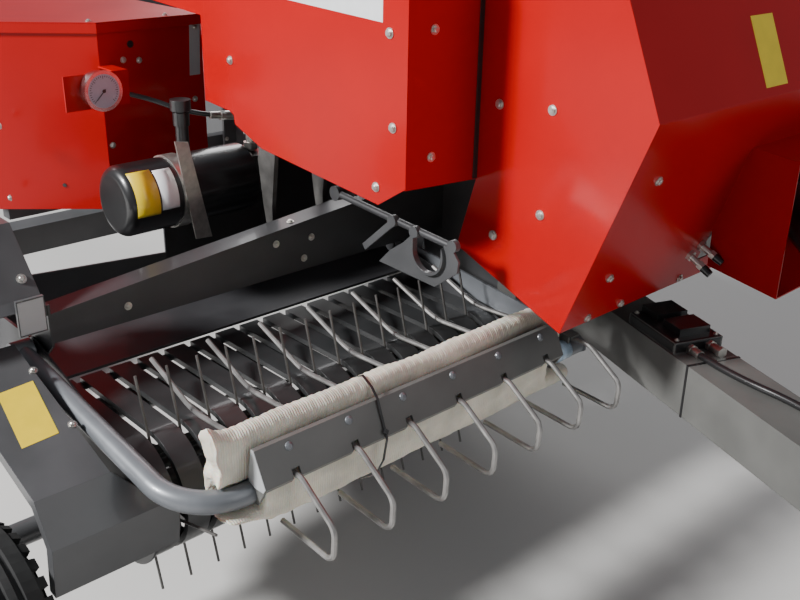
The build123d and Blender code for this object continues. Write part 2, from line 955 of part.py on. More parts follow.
with BuildPart() as gauge_rim:
    turned((gauge_wheel_x, gauge_wheel_y, gauge_wheel_z), -1, gauge_rim_outline)
gauge_rim.part.label = "gauge_rim"
export_step(gauge_rim.part, "parts/gauge_rim.step")

with BuildPart() as gauge_tyre:
    turned((gauge_wheel_x, gauge_wheel_y, gauge_wheel_z), -1, gauge_tyre_outline)
gauge_tyre.part.label = "gauge_tyre"
export_step(gauge_tyre.part, "parts/gauge_tyre.step")

# Windguard tube: the right arm and the cross run are one bent pipe, the left arm is a plate
bend_radius = 110
left_arm_plate = 6
with BuildPart() as windguard_tube:
    with BuildLine() as tube_path:
        FilletPolyline(
            (guard_arm_x, pivot_y, pivot_z),
            (guard_arm_x, guard_tube_y, guard_tube_z),
            (guard_left_x, guard_tube_y, guard_tube_z),
            radius=bend_radius,
        )
    with BuildSketch(Plane(origin=tube_path.line @ 0, z_dir=tube_path.line % 0)) as tube_section:
        Circle(guard_tube / 2)
    sweep(tube_section.sketch, path=tube_path.line)
    bar_x(guard_arm_x - guard_tube / 2, guard_arm_x + guard_tube / 2, pivot_y, pivot_z, 2 * ear_radius)
    side_plate(
        guard_left_x,
        guard_left_x + left_arm_plate,
        [
            (guard_tube_y - 24, guard_tube_z - 10),
            (guard_tube_y, guard_tube_z - 24),
            (pivot_y - 60, pivot_z - 40),
            (pivot_y + 8, pivot_z - ear_radius + 2),
            (pivot_y + ear_radius, pivot_z - 8),
            (pivot_y + ear_radius, pivot_z + 8),
            (pivot_y + 8, pivot_z + ear_radius),
            (pivot_y - 40, pivot_z + 18),
            (guard_tube_y, guard_tube_z + 24),
            (guard_tube_y - 24, guard_tube_z + 10),
        ],
    )
    bar_x(
        guard_arm_x - guard_tube / 2 - 1,
        guard_arm_x + guard_tube / 2 + 1,
        pivot_y,
        pivot_z,
        pivot_pin + 2 * running_gap,
        Mode.SUBTRACT,
    )
    bar_x(
        guard_left_x - 1,
        guard_left_x + left_arm_plate + 1,
        pivot_y,
        pivot_z,
        pivot_pin + 2 * running_gap,
        Mode.SUBTRACT,
    )
windguard_tube.part.label = "windguard_tube"
export_step(windguard_tube.part, "parts/windguard_tube.step")

# Hooked rods: from the tips over the bands, across the tube and round the hook in front
rod_over_bands_y = reel_y - 13
rod_over_bands_z = band_top_z + rod_wire / 2 + 5.2
rod_seat_z = guard_tube_z + guard_tube / 2 + rod_wire / 2 + running_gap
rod_rise = (rod_seat_z - rod_over_bands_z) / (rod_over_bands_y - guard_tube_y)


def rod_height(y):
    """The height of a guard rod's middle line where it crosses the tube."""
    return rod_seat_z + rod_rise * (guard_tube_y - y)


rod_bend_y = guard_edge_y - 12
rod_points = [
    (guard_edge_y + 485, guard_edge_z + 38),
    (rod_over_bands_y, rod_over_bands_z),
    (rod_bend_y, rod_height(rod_bend_y)),
    (guard_edge_y - 102, guard_edge_z - 63),
    (guard_edge_y - 98, guard_edge_z - 131),
    (guard_edge_y + 48, guard_edge_z - 122),
]
rod_radii = [150, 30, 30, 22]
with BuildPart() as windguard_rods:
    for index in range(rod_count):
        with BuildLine(Plane.YZ.offset(first_rod_x + index * rod_pitch)) as rod_path:
            FilletPolyline(*rod_points, radius=rod_radii)
        with BuildSketch(Plane(origin=rod_path.line @ 0, z_dir=rod_path.line % 0)) as rod_section:
            RegularPolygon(rod_wire / 2, 8)
        sweep(rod_section.sketch, path=rod_path.line)
windguard_rods.part.label = "windguard_rods"
export_step(windguard_rods.part, "parts/windguard_rods.step")

# Clamp plate over the rods: notched lower edge, a clamp block at each rod, brackets on the tube
plate_right_x = first_rod_x - 62
plate_left_x = first_rod_x + (rod_count - 2) * rod_pitch + 50
plate_end = 5
plate_low = (guard_edge_y - 3, guard_edge_z - 4)
plate_high = (guard_edge_y + 28, guard_edge_z + 59)
plate_path = [
    (guard_edge_y + 4, guard_edge_z - 14),
    plate_low,
    plate_high,
    (plate_high[0] + 9, plate_high[1] + 1),
]
notch_width = 17
clamp_half = 8
saddle_sheet = 4
saddle_x = first_rod_x + (rod_count - 1) * rod_pitch
with BuildPart() as windguard_plate:
    side_plate(plate_right_x, plate_left_x, folded(plate_path, -guard_plate))
    for index in range(rod_count - 1):
        rod_x = first_rod_x + index * rod_pitch
        block(
            rod_x - notch_width / 2,
            rod_x + notch_width / 2,
            guard_edge_y - 20,
            guard_edge_y + 18,
            guard_edge_z - 30,
            guard_edge_z + 11,
            Mode.SUBTRACT,
        )
        side_plate(
            rod_x - clamp_half,
            rod_x + clamp_half,
            [
                (guard_edge_y + 10, guard_edge_z + 20),
                (guard_edge_y + 10, rod_height(guard_edge_y + 10) + rod_wire / 2 + running_gap),
                (guard_edge_y + 38, rod_height(guard_edge_y + 38) + rod_wire / 2 + running_gap),
                (guard_edge_y + 38, plate_high[1] - 12),
                (guard_edge_y + 27, plate_high[1] - 4),
            ],
        )
    for bracket_x in (first_rod_x + rod_pitch / 2, first_rod_x + 4.5 * rod_pitch):
        side_plate(
            bracket_x - 4,
            bracket_x + 4,
            [
                (guard_edge_y + 5, guard_edge_z + 4),
                (plate_high[0] + 2, plate_high[1] - 8),
                (guard_tube_y, guard_tube_z + 19),
                (guard_tube_y - 18, guard_tube_z + 8),
            ],
        )
    for end_x in (plate_right_x - plate_end, plate_left_x):
        side_plate(
            end_x,
            end_x + plate_end,
            [
                plate_path[0],
                plate_low,
                plate_high,
                plate_path[3],
                (guard_tube_y, guard_tube_z + 46),
                (guard_tube_y, guard_tube_z - 16),
                (guard_tube_y - 24, guard_tube_z - 16),
            ],
        )
    saddle_z = rod_height(guard_tube_y - 20) + rod_wire / 2 + running_gap
    block(
        saddle_x - 14,
        saddle_x + 14,
        guard_tube_y - 20,
        guard_tube_y + 14,
        saddle_z,
        saddle_z + saddle_sheet,
    )
    for side in (-1, 1):
        block(
            saddle_x + side * 8,
            saddle_x + side * 14,
            guard_tube_y - 12,
            guard_tube_y + 12,
            guard_tube_z + 8,
            saddle_z + saddle_sheet,
        )
    bar_x(plate_right_x - 6, saddle_x + 20, guard_tube_y, guard_tube_z, guard_tube, Mode.SUBTRACT)
windguard_plate.part.label = "windguard_plate"
export_step(windguard_plate.part, "parts/windguard_plate.step")

# Packing foam wrapped behind and under the windguard tube, with the rods through it
foam_right_x = first_rod_x - 138
foam_left_x = saddle_x - 22
foam_roll = 50
foam_fold = 44
foam_roll_low = (guard_tube_y + 32, guard_tube_z - 75)
foam_roll_high = (guard_tube_y + 24, guard_tube_z + 97)
foam_fold_front = (guard_tube_y - 10, guard_tube_z - 45)
foam_fold_back = (guard_tube_y + 36, guard_tube_z - 59)


def middle(first, second):
    """The point halfway between two points."""
    return tuple((a + b) / 2 for a, b in zip(first, second))


with BuildPart() as foam_sleeve:
    with BuildSketch(Plane.YZ.offset(foam_right_x)) as foam_section:
        SlotCenterPoint(middle(foam_roll_low, foam_roll_high), foam_roll_high, foam_roll)
        SlotCenterPoint(middle(foam_fold_front, foam_fold_back), foam_fold_front, foam_fold)
    extrude(foam_section.sketch, amount=foam_left_x - foam_right_x)
    with BuildSketch(Plane(origin=tube_path.line @ 0, z_dir=tube_path.line % 0)) as tube_room:
        Circle(guard_tube / 2 + foam_clearance)
    sweep(tube_room.sketch, path=tube_path.line, mode=Mode.SUBTRACT)
    for index in range(rod_count - 1):
        rod_x = first_rod_x + index * rod_pitch
        rod_between(
            (rod_x, guard_tube_y - 8, rod_height(guard_tube_y - 8)),
            (rod_x, guard_tube_y + 80, rod_height(guard_tube_y + 80)),
            rod_wire + 2 * foam_clearance,
            Mode.SUBTRACT,
        )
foam_sleeve.part.label = "foam_sleeve"
export_step(foam_sleeve.part, "parts/foam_sleeve.step")

# Drawbar: box beam with a round rear end, a cradle for the driveline and the jack's stub
drawbar_frame = Plane(
    origin=(drawbar_pin_x, drawbar_pin_y, 0),
    x_dir=(cos(radians(drawbar_swing)), -sin(radians(drawbar_swing)), 0),
    z_dir=(0, 0, 1),
)
drawbar_end = -drawbar_reach + 120
cradle_sheet = 4
cradle_fall = sin(radians(driveline_fall)) * cradle_reach
cradle_base_z = joint_z - cradle_fall - driveline_tube / 2 - cradle_sheet
cradle_half = 66
valve_box_near = 225
valve_box_far = 400
valve_box_height = 26
hose_size = 16
hose_z = drawbar_top_z + hose_size / 2 + running_gap
hose_holder = 34
hose_park_back = 111
hose_park = round(-drawbar_end - hose_park_back)
hose_step = (hose_park - valve_box_far) / 91
jack_ahead = 1000
jack_stub = 50
jack_stub_end = 114
with BuildPart(drawbar_frame) as drawbar:
    with BuildSketch(drawbar_frame.offset(drawbar_bottom_z)) as beam_outline:
        Circle(drawbar_width / 2)
        with Locations((0, (drawbar_end + 60) / 2)):
            Rectangle(drawbar_width, -drawbar_end - 60)
        with Locations((0, drawbar_end + 30)):
            Rectangle(drawbar_width - 20, 60)
        Circle(drawbar_pin / 2 + running_gap, mode=Mode.SUBTRACT)
    extrude(beam_outline.sketch, amount=drawbar_height)
    block(
        -drawbar_width / 2 + 4,
        drawbar_width / 2 - 4,
        -valve_box_far,
        -valve_box_near,
        drawbar_top_z,
        drawbar_top_z + valve_box_height,
    )
    block(
        12,
        12 + hose_holder,
        -hose_park - 50,
        -hose_park,
        drawbar_top_z,
        drawbar_top_z + hose_holder,
    )
    bar_y(-hose_park - 90, -hose_park - 50, 12 + hose_holder / 2, drawbar_top_z + hose_holder / 2, 26)
    block(-20, 20, -cradle_ahead - 20, -cradle_ahead + 20, drawbar_top_z, cradle_base_z - 8)
    block(
        -cradle_half - 6,
        cradle_half + 6,
        -cradle_ahead - 14,
        -cradle_ahead + 14,
        cradle_base_z - 8,
        cradle_base_z,
    )
    for side in (-1, 1):
        block(
            side * cradle_half,
            side * (cradle_half + 6),
            -cradle_ahead - 14,
            -cradle_ahead + 14,
            cradle_base_z,
            cradle_base_z + 70,
        )
    bar_x(drawbar_width / 2, jack_stub_end, -jack_ahead, 520, jack_stub)
drawbar.part.label = "drawbar"
export_step(drawbar.part, "parts/drawbar.step")

# Oil hose that lies along the top of the drawbar, from its valve box to the parking holder
hose_points = [
    (-20, -valve_box_far, hose_z),
    (-20, -valve_box_far - 7 * hose_step, hose_z),
    (-4, -valve_box_far - 16.5 * hose_step, hose_z),
    (24, -valve_box_far - 25.5 * hose_step, hose_z),
    (36, -valve_box_far - 36 * hose_step, hose_z),
    (24, -valve_box_far - 47 * hose_step, hose_z),
    (34, -valve_box_far - 58 * hose_step, hose_z),
    (46, -valve_box_far - 68 * hose_step, hose_z),
    (40, -valve_box_far - 78.5 * hose_step, hose_z),
    (12 + hose_holder / 2, -hose_park + 5 * hose_step, hose_z),
    (12 + hose_holder / 2, -hose_park, hose_z),
]
hose_radii = bend_radii(hose_points)
print("drawbar hose radii", hose_radii)
with BuildPart(drawbar_frame) as drawbar_hose:
    with BuildLine(drawbar_frame) as drawbar_hose_path:
        FilletPolyline(*hose_points, radius=hose_radii)
    with BuildSketch(
        Plane(origin=drawbar_hose_path.line @ 0, z_dir=drawbar_hose_path.line % 0)
    ) as drawbar_hose_section:
        Circle(hose_size / 2)
    sweep(drawbar_hose_section.sketch, path=drawbar_hose_path.line)
drawbar_hose.part.label = "drawbar_hose"
export_step(drawbar_hose.part, "parts/drawbar_hose.step")

# Hitch clevis at the front of the drawbar, with the hole for the tractor's pin
hitch_plate = 22
hitch_half_width = 55
hitch_hole_back = 45
with BuildPart(drawbar_frame) as hitch_clevis:
    block(
        -hitch_half_width,
        hitch_half_width,
        drawbar_end - 16,
        drawbar_end,
        drawbar_bottom_z + 10,
        drawbar_top_z - 10,
    )
    for plate_z in (drawbar_bottom_z + 18, drawbar_top_z - 18 - hitch_plate):
        flat_plate(
            plate_z,
            plate_z + hitch_plate,
            [
                (-hitch_half_width, drawbar_end - 16),
                (-hitch_half_width, -drawbar_reach + 30),
                (-hitch_nose_half, -drawbar_reach),
                (hitch_nose_half, -drawbar_reach),
                (hitch_half_width, -drawbar_reach + 30),
                (hitch_half_width, drawbar_end - 16),
            ],
            drawbar_frame,
        )
    bar_z(
        drawbar_bottom_z,
        drawbar_top_z,
        0,
        -drawbar_reach + hitch_hole_back,
        hitch_pin_hole,
        Mode.SUBTRACT,
    )
hitch_clevis.part.label = "hitch_clevis"
export_step(hitch_clevis.part, "parts/hitch_clevis.step")

# Jack: sleeve on the drawbar's stub, upright tubes, foot and crank
jack_offset = 150
jack_tube = 60
jack_inner = 48
jack_top_z = 850
jack_low_z = 330
jack_foot = 140
with BuildPart(drawbar_frame) as jack:
    bar_x(drawbar_width / 2 + 6, jack_offset, -jack_ahead, 520, 68)
    bar_z(jack_low_z, jack_top_z, jack_offset, -jack_ahead, jack_tube)
    bar_z(10, jack_low_z, jack_offset, -jack_ahead, jack_inner)
    block(
        jack_offset - jack_foot / 2,
        jack_offset + jack_foot / 2,
        -jack_ahead - jack_foot / 2,
        -jack_ahead + jack_foot / 2,
        0,
        10,
    )
    bar_z(jack_top_z, jack_top_z + 40, jack_offset, -jack_ahead, 20)
    bar_x(jack_offset, jack_offset + 130, -jack_ahead, jack_top_z + 32, 16)
    bar_z(jack_top_z + 24, jack_top_z + 110, jack_offset + 130, -jack_ahead, 20)
    bar_x(
        drawbar_width / 2,
        jack_stub_end + 2,
        -jack_ahead,
        520,
        jack_stub + 2 * running_gap,
        Mode.SUBTRACT,
    )
jack.part.label = "jack"
export_step(jack.part, "parts/jack.step")

# Gearbox in front of the case, and the flywheel with its shaft and rear joint yoke
flywheel_diameter = 560
flywheel_y = -1250
shaft = 45
with BuildPart() as gearbox:
    block(
        joint_x - gearbox_width / 2,
        joint_x + gearbox_width / 2,
        gearbox_front_y,
        gearbox_rear_y,
        gearbox_bottom_z,
        gearbox_top_z,
    )
    bar_y(gearbox_front_y - 12, gearbox_front_y, joint_x, joint_z, 110)
    bar_y(
        gearbox_front_y - 13,
        gearbox_rear_y - 40,
        joint_x,
        joint_z,
        shaft + 2 * running_gap,
        Mode.SUBTRACT,
    )
gearbox.part.label = "gearbox"
export_step(gearbox.part, "parts/gearbox.step")

with BuildPart() as flywheel:
    bar_y(flywheel_y - 50, flywheel_y + 50, joint_x, joint_z, flywheel_diameter)
    bar_y(flywheel_y - 51, flywheel_y - 10, joint_x, joint_z, flywheel_diameter - 110, Mode.SUBTRACT)
    bar_y(flywheel_y + 10, flywheel_y + 51, joint_x, joint_z, flywheel_diameter - 110, Mode.SUBTRACT)
    bar_y(flywheel_y - 40, flywheel_y + 40, joint_x, joint_z, 110)
    bar_y(joint_y + 24, gearbox_rear_y - 44, joint_x, joint_z, shaft)
    bar_y(joint_y + 24, joint_y + 70, joint_x, joint_z, 76)
    for side in (-1, 1):
        block(
            joint_x + side * 22,
            joint_x + side * 36,
            joint_y - 14,
            joint_y + 30,
            joint_z - 16,
            joint_z + 16,
        )
flywheel.part.label = "flywheel"
export_step(flywheel.part, "parts/flywheel.step")

# Driveline: guard tube resting in the cradle, and the tractor-side yoke in its end
driveline_run = (
    -sin(radians(driveline_swing)) * cos(radians(driveline_fall)),
    -cos(radians(driveline_swing)) * cos(radians(driveline_fall)),
    -sin(radians(driveline_fall)),
)


def along(distance):
    """A point on the driveline at this distance from its rear joint."""
    return (
        joint_x + distance * driveline_run[0],
        joint_y + distance * driveline_run[1],
        joint_z + distance * driveline_run[2],
    )


guard_start = 60
guard_end = cradle_reach + 106.7
yoke_end = guard_end + 110
driveline_shaft = 38
pto_bore = 35
with BuildPart() as driveline_guard:
    rod_between(along(guard_start), along(guard_end), driveline_tube)
    rod_between(along(guard_end), along(guard_end + 60), driveline_tube + 40)
    rod_between(along(guard_end - 80), along(guard_end + 61), driveline_shaft + 2 * running_gap, Mode.SUBTRACT)
    rod_between(along(guard_end + 6), along(guard_end + 61), driveline_tube + 24, Mode.SUBTRACT)
driveline_guard.part.label = "driveline_guard"
export_step(driveline_guard.part, "parts/driveline_guard.step")

with BuildPart() as pto_yoke:
    rod_between(along(guard_end - 76), along(yoke_end - 60), driveline_shaft)
    rod_between(along(guard_end + 30), along(yoke_end), 66)
    rod_between(along(yoke_end - 60), along(yoke_end + 1), pto_bore, Mode.SUBTRACT)
pto_yoke.part.label = "pto_yoke"
export_step(pto_yoke.part, "parts/pto_yoke.step")

# Hood: front, roof, both sides and the tunnel for the driveline
hood_path = [
    (-1390, 672),
    (-1563, 1128),
    (-1476, 1326),
    (-1435, hood_top_z),
    (hood_rear_y, hood_top_z),
]
tunnel_right_x = 355
tunnel_rear_right_x = 420
tunnel_left_x = 740
tunnel_bottom_z = 720
tunnel_top_z = 1010
tunnel_front_y = -1640
tunnel_rear_y = -1440
with BuildPart() as drive_hood:
    side_plate(hood_right_x, hood_left_x, folded(hood_path, -skin))
    side_plate(
        hood_right_x,
        hood_right_x + skin,
        [
            (-1390, 672),
            (-1563, 1128),
            (-1476, 1326),
            (-1435, hood_top_z),
            (shield_front_y, hood_top_z),
            (shield_front_y, 938),
            (-1098, 780),
        ],
    )
    side_plate(
        hood_left_x - skin,
        hood_left_x,
        [
            (-1390, 672),
            (-1563, 1128),
            (-1476, 1326),
            (-1435, hood_top_z),
            (hood_rear_y, hood_top_z),
            (hood_rear_y, 672),
        ],
    )
    tunnel_outline = [
        (tunnel_rear_right_x, tunnel_rear_y),
        (tunnel_right_x, tunnel_front_y),
        (tunnel_left_x, tunnel_front_y),
        (tunnel_left_x, tunnel_rear_y),
    ]
    tunnel_bore = [
        (tunnel_rear_right_x + skin, tunnel_rear_y + 400),
        (tunnel_rear_right_x + skin, tunnel_rear_y),
        (tunnel_right_x + skin, tunnel_front_y),
        (tunnel_right_x + skin, tunnel_front_y - 1),
        (tunnel_left_x - skin, tunnel_front_y - 1),
        (tunnel_left_x - skin, tunnel_rear_y + 400),
    ]
    flat_plate(tunnel_bottom_z, tunnel_top_z, tunnel_outline)
    flat_plate(tunnel_bottom_z + skin, tunnel_top_z - skin, tunnel_bore, mode=Mode.SUBTRACT)
drive_hood.part.label = "drive_hood"
export_step(drive_hood.part, "parts/drive_hood.step")

# Feeder shield: the panel over the trough, the step back to the hood and the roof between
with BuildPart() as feeder_shield:
    side_plate(
        shield_x,
        shield_x + skin,
        [
            (-1065, 903),
            (shield_front_y, 953),
            (shield_front_y, hood_top_z),
            (hood_rear_y, hood_top_z),
            (hood_rear_y, 1198),
            (-542, 1118),
            (-566, 975),
            (-670, 938),
        ],
    )
    front_plate(
        shield_front_y,
        shield_front_y + skin,
        [
            (shield_x, 950),
            (hood_right_x, 938),
            (hood_right_x, hood_top_z),
            (shield_x, hood_top_z),
        ],
    )
    block(
        shield_x,
        hood_right_x,
        shield_front_y,
        hood_rear_y,
        hood_top_z - skin,
        hood_top_z,
    )
feeder_shield.part.label = "feeder_shield"
export_step(feeder_shield.part, "parts/feeder_shield.step")

# Posts and cross bars that carry the hood above the case
post_size = 40
hood_bar_z = hood_top_z - skin - post_size
post_places = [
    (case_right_x + 28, -900),
    (case_left_x - 28, -900),
    (case_right_x + 28, -500),
    (case_left_x - 28, -500),
]
with BuildPart() as hood_posts:
    for post_x, post_y in post_places:
        block(
            post_x - post_size / 2,
            post_x + post_size / 2,
            post_y - post_size / 2,
            post_y + post_size / 2,
            case_top_z,
            hood_bar_z,
        )
    for bar_row_y in (-900, -500):
        block(
            shield_x + skin,
            hood_left_x - skin,
            bar_row_y - post_size / 2,
            bar_row_y + post_size / 2,
            hood_bar_z,
            hood_top_z - skin,
        )
hood_posts.part.label = "hood_posts"
export_step(hood_posts.part, "parts/hood_posts.step")

# Black bell round the rear joint, on a plate that closes the tunnel
bell_front = 104
bell_rear = 95
with BuildPart() as joint_bell:
    with BuildSketch(Plane.XZ.offset(-tunnel_rear_y)) as bell_plate:
        with Locations(((tunnel_rear_right_x + tunnel_left_x) / 2, (tunnel_bottom_z + tunnel_top_z) / 2)):
            Rectangle(
                tunnel_left_x - tunnel_rear_right_x - 2 * skin,
                tunnel_top_z - tunnel_bottom_z - 2 * skin,
            )
        with Locations((joint_x, joint_z)):
            Circle(60, mode=Mode.SUBTRACT)
    extrude(bell_plate.sketch, amount=5)
    with Locations((joint_x, tunnel_rear_y - 42, joint_z)):
        Cone(bell_rear, bell_front, 84, rotation=(90, 0, 0))
        Cone(bell_rear - 4, bell_front - 4, 84, rotation=(90, 0, 0), mode=Mode.SUBTRACT)
    bar_y(tunnel_rear_y - 6, tunnel_rear_y + 1, joint_x, joint_z, 120, Mode.SUBTRACT)
joint_bell.part.label = "joint_bell"
export_step(joint_bell.part, "parts/joint_bell.step")

# Feeder forks over the trough: a bar from the shield to the case's post, with three curved forks
fork_bar_y = -620
fork_bar_z = 1000
fork_bar = 40
fork_tip_z = 645
fork_pitch = 155
fork_sheet = 12
with BuildPart() as feeder_forks:
    block(
        shield_x + skin,
        case_right_x + 8,
        fork_bar_y - fork_bar / 2,
        fork_bar_y + fork_bar / 2,
        fork_bar_z - fork_bar / 2,
        fork_bar_z + fork_bar / 2,
    )
    block(
        case_right_x + 8,
        case_right_x + 28,
        fork_bar_y - fork_bar / 2,
        -500 - post_size / 2,
        fork_bar_z - fork_bar / 2,
        fork_bar_z + fork_bar / 2,
    )
    for index in range(3):
        fork_x = shield_x + 70 + index * fork_pitch
        side_plate(
            fork_x - fork_sheet / 2,
            fork_x + fork_sheet / 2,
            [
                (fork_bar_y - 26, fork_bar_z + 26),
                (fork_bar_y + 26, fork_bar_z + 26),
                (fork_bar_y + 60, fork_bar_z - 120),
                (fork_bar_y + 44, fork_tip_z + 130),
                (fork_bar_y + 16, fork_tip_z),
                (fork_bar_y + 8, fork_tip_z),
                (fork_bar_y + 8, fork_tip_z + 130),
                (fork_bar_y - 6, fork_bar_z - 120),
            ],
        )
feeder_forks.part.label = "feeder_forks"
export_step(feeder_forks.part, "parts/feeder_forks.step")

# Upper rear cover over the pickup drive, on the right end of the cross beam
upper_cover_path = [
    (beam_y + 2, 722),
    (beam_y + 22, 738),
    (-580, 860),
    (-470, 860),
    (-430, 780),
]
with BuildPart() as upper_rear_cover:
    side_plate(cover_right_x, beam_right_x - bracket_plate, folded(upper_cover_path, -skin))
    for wall_x in (cover_right_x, beam_right_x - bracket_plate - skin):
        side_plate(
            wall_x,
            wall_x + skin,
            upper_cover_path + [(-430, 700), (beam_y + 2, 700)],
        )
    block(
        beam_right_x - 67,
        beam_right_x - 11,
        beam_y - 4,
        beam_y + 4,
        beam_right_top_z - 30,
        beam_right_top_z + 45,
    )
upper_rear_cover.part.label = "upper_rear_cover"
export_step(upper_rear_cover.part, "parts/upper_rear_cover.step")

# Twine box: chamfered sheet box, its two carrying beams and the lid
twine_bottom_z = 710
twine_top_z = 1168
twine_left_x = -89
twine_rear_y = 340
twine_outline = [
    (twine_left_x, -210),
    (-379, -210),
    (-600, -28),
    (-600, twine_rear_y),
    (twine_left_x, twine_rear_y),
]
twine_inner = [
    (twine_left_x - skin, -210 + skin),
    (-378, -210 + skin),
    (-600 + skin, -26.6),
    (-600 + skin, twine_rear_y - skin),
    (twine_left_x - skin, twine_rear_y - skin),
]
with BuildPart() as twine_box:
    flat_plate(twine_bottom_z, twine_top_z, twine_outline)
    flat_plate(twine_bottom_z + skin, twine_top_z + 1, twine_inner, mode=Mode.SUBTRACT)
twine_box.part.label = "twine_box"
export_step(twine_box.part, "parts/twine_box.step")

with BuildPart() as twine_box_beams:
    for beam_place in (40, 300):
        block(-560, case_right_x, beam_place - 20, beam_place + 20, twine_bottom_z - 50, twine_bottom_z)
twine_box_beams.part.label = "twine_box_beams"
export_step(twine_box_beams.part, "parts/twine_box_beams.step")

lid_gap = 5
lid_pin = 12
lid_hinge_x = twine_left_x + 12
lid_hinge_z = twine_top_z - 6
with BuildPart() as twine_box_hinge:
    block(twine_left_x, lid_hinge_x + 8, -120, -80, lid_hinge_z - 30, lid_hinge_z - 13)
    block(twine_left_x, lid_hinge_x + 8, 220, 260, lid_hinge_z - 30, lid_hinge_z - 13)
    for y0 in (-120, 254):
        block(lid_hinge_x - 8, lid_hinge_x + 8, y0, y0 + 6, lid_hinge_z - 30, lid_hinge_z + 8)
    for y0 in (-86, 220):
        block(lid_hinge_x - 8, lid_hinge_x + 8, y0, y0 + 6, lid_hinge_z - 30, lid_hinge_z + 8)
    bar_y(-120, -80, lid_hinge_x, lid_hinge_z, lid_pin)
    bar_y(220, 260, lid_hinge_x, lid_hinge_z, lid_pin)
twine_box_hinge.part.label = "twine_box_hinge"
export_step(twine_box_hinge.part, "parts/twine_box_hinge.step")

with BuildPart() as twine_box_lid:
    flat_plate(
        twine_top_z + lid_gap,
        twine_top_z + lid_gap + skin,
        [
            (lid_hinge_x - 8, -216),
            (-381, -216),
            (-606, -31),
            (-606, twine_rear_y + 6),
            (lid_hinge_x - 8, twine_rear_y + 6),
        ],
    )
    for y0 in (-113, 227):
        block(lid_hinge_x - 8, lid_hinge_x + 8, y0, y0 + 26, lid_hinge_z, twine_top_z + lid_gap + skin)
        bar_y(y0, y0 + 26, lid_hinge_x, lid_hinge_z, 22)
        bar_y(y0 - 1, y0 + 27, lid_hinge_x, lid_hinge_z, lid_pin + 2 * running_gap, Mode.SUBTRACT)
twine_box_lid.part.label = "twine_box_lid"
export_step(twine_box_lid.part, "parts/twine_box_lid.step")

# Knotters: the frame on the case, two knotter heads with their cam gears on one shaft
knotter_shaft_y = 150
knotter_shaft_z = 1080
with BuildPart() as knotter_frame:
    block(case_right_x + 10, case_left_x - 10, 160, 240, case_top_z, case_top_z + 40)
    for side in (-1, 1):
        plate_x = case_centre_x + side * 215
        side_plate(
            plate_x - 5,
            plate_x + 5,
            [
                (160, case_top_z + 40),
                (240, case_top_z + 40),
                (knotter_shaft_y + 40, knotter_shaft_z + 30),
                (knotter_shaft_y - 40, knotter_shaft_z + 30),
                (knotter_shaft_y - 40, knotter_shaft_z - 30),
            ],
        )
    bar_x(
        case_centre_x - 215,
        case_centre_x + 215,
        knotter_shaft_y,
        knotter_shaft_z,
        38,
    )
knotter_frame.part.label = "knotter_frame"
export_step(knotter_frame.part, "parts/knotter_frame.step")

with BuildPart() as knotters:
    for side in (-1, 1):
        head_x = case_centre_x + side * twine_spacing / 2
        bar_x(head_x + 20, head_x + 38, knotter_shaft_y, knotter_shaft_z, 230)
        bar_x(head_x - 30, head_x + 20, knotter_shaft_y, knotter_shaft_z, 70)
        side_plate(
            head_x - 30,
            head_x - 10,
            [
                (knotter_shaft_y - 20, knotter_shaft_z + 40),
                (knotter_shaft_y - 90, knotter_shaft_z - 20),
                (knotter_shaft_y - 90, case_top_z + 60),
                (knotter_shaft_y - 40, case_top_z + 40),
                (knotter_shaft_y + 20, case_top_z + 44),
                (knotter_shaft_y + 30, knotter_shaft_z - 10),
            ],
        )
        disc_y = knotter_shaft_y - 56
        disc_z = case_top_z + 96
        bar_x(head_x - 46, head_x - 30, disc_y, disc_z, 96)
        bar_x(head_x - 41, head_x - 35, disc_y, disc_z, 104)
        bar_x(head_x - 60, head_x - 46, disc_y, disc_z, 40)
        rod_between((head_x - 20, disc_y, case_top_z + 60), (head_x - 20, disc_y - 22, case_top_z + 16), 15)
    bar_x(
        case_centre_x - 216,
        case_centre_x + 216,
        knotter_shaft_y,
        knotter_shaft_z,
        38,
        Mode.SUBTRACT,
    )
knotters.part.label = "knotters"
export_step(knotters.part, "parts/knotters.step")

# Metering wheel that rides on the bale, on brackets behind the knotters
metering_y = 480
metering_z = 985
metering_diameter = 260
metering_teeth = 12
with BuildPart() as metering_bracket:
    for side in (-1, 1):
        plate_x = case_centre_x + side * 40
        side_plate(
            plate_x - 4,
            plate_x + 4,
            [
                (metering_y - 70, case_top_z),
                (metering_y + 70, case_top_z),
                (metering_y + 20, metering_z + 20),
                (metering_y - 20, metering_z + 20),
            ],
        )
    bar_x(case_centre_x - 44, case_centre_x + 44, metering_y, metering_z, 20)
metering_bracket.part.label = "metering_bracket"
export_step(metering_bracket.part, "parts/metering_bracket.step")

with BuildPart() as metering_wheel:
    with BuildSketch(Plane.YZ.offset(case_centre_x - 4)) as star:
        with Locations((metering_y, metering_z)):
            Circle(metering_diameter / 2 - 22)
            with PolarLocations(metering_diameter / 2 - 24, metering_teeth):
                Triangle(a=48, b=30, c=48, rotation=-90)
    extrude(star.sketch, amount=8)
    bar_x(case_centre_x - 26, case_centre_x + 26, metering_y, metering_z, 44)
    bar_x(
        case_centre_x - 27,
        case_centre_x + 27,
        metering_y,
        metering_z,
        20 + 2 * running_gap,
        Mode.SUBTRACT,
    )
metering_wheel.part.label = "metering_wheel"
export_step(metering_wheel.part, "parts/metering_wheel.step")

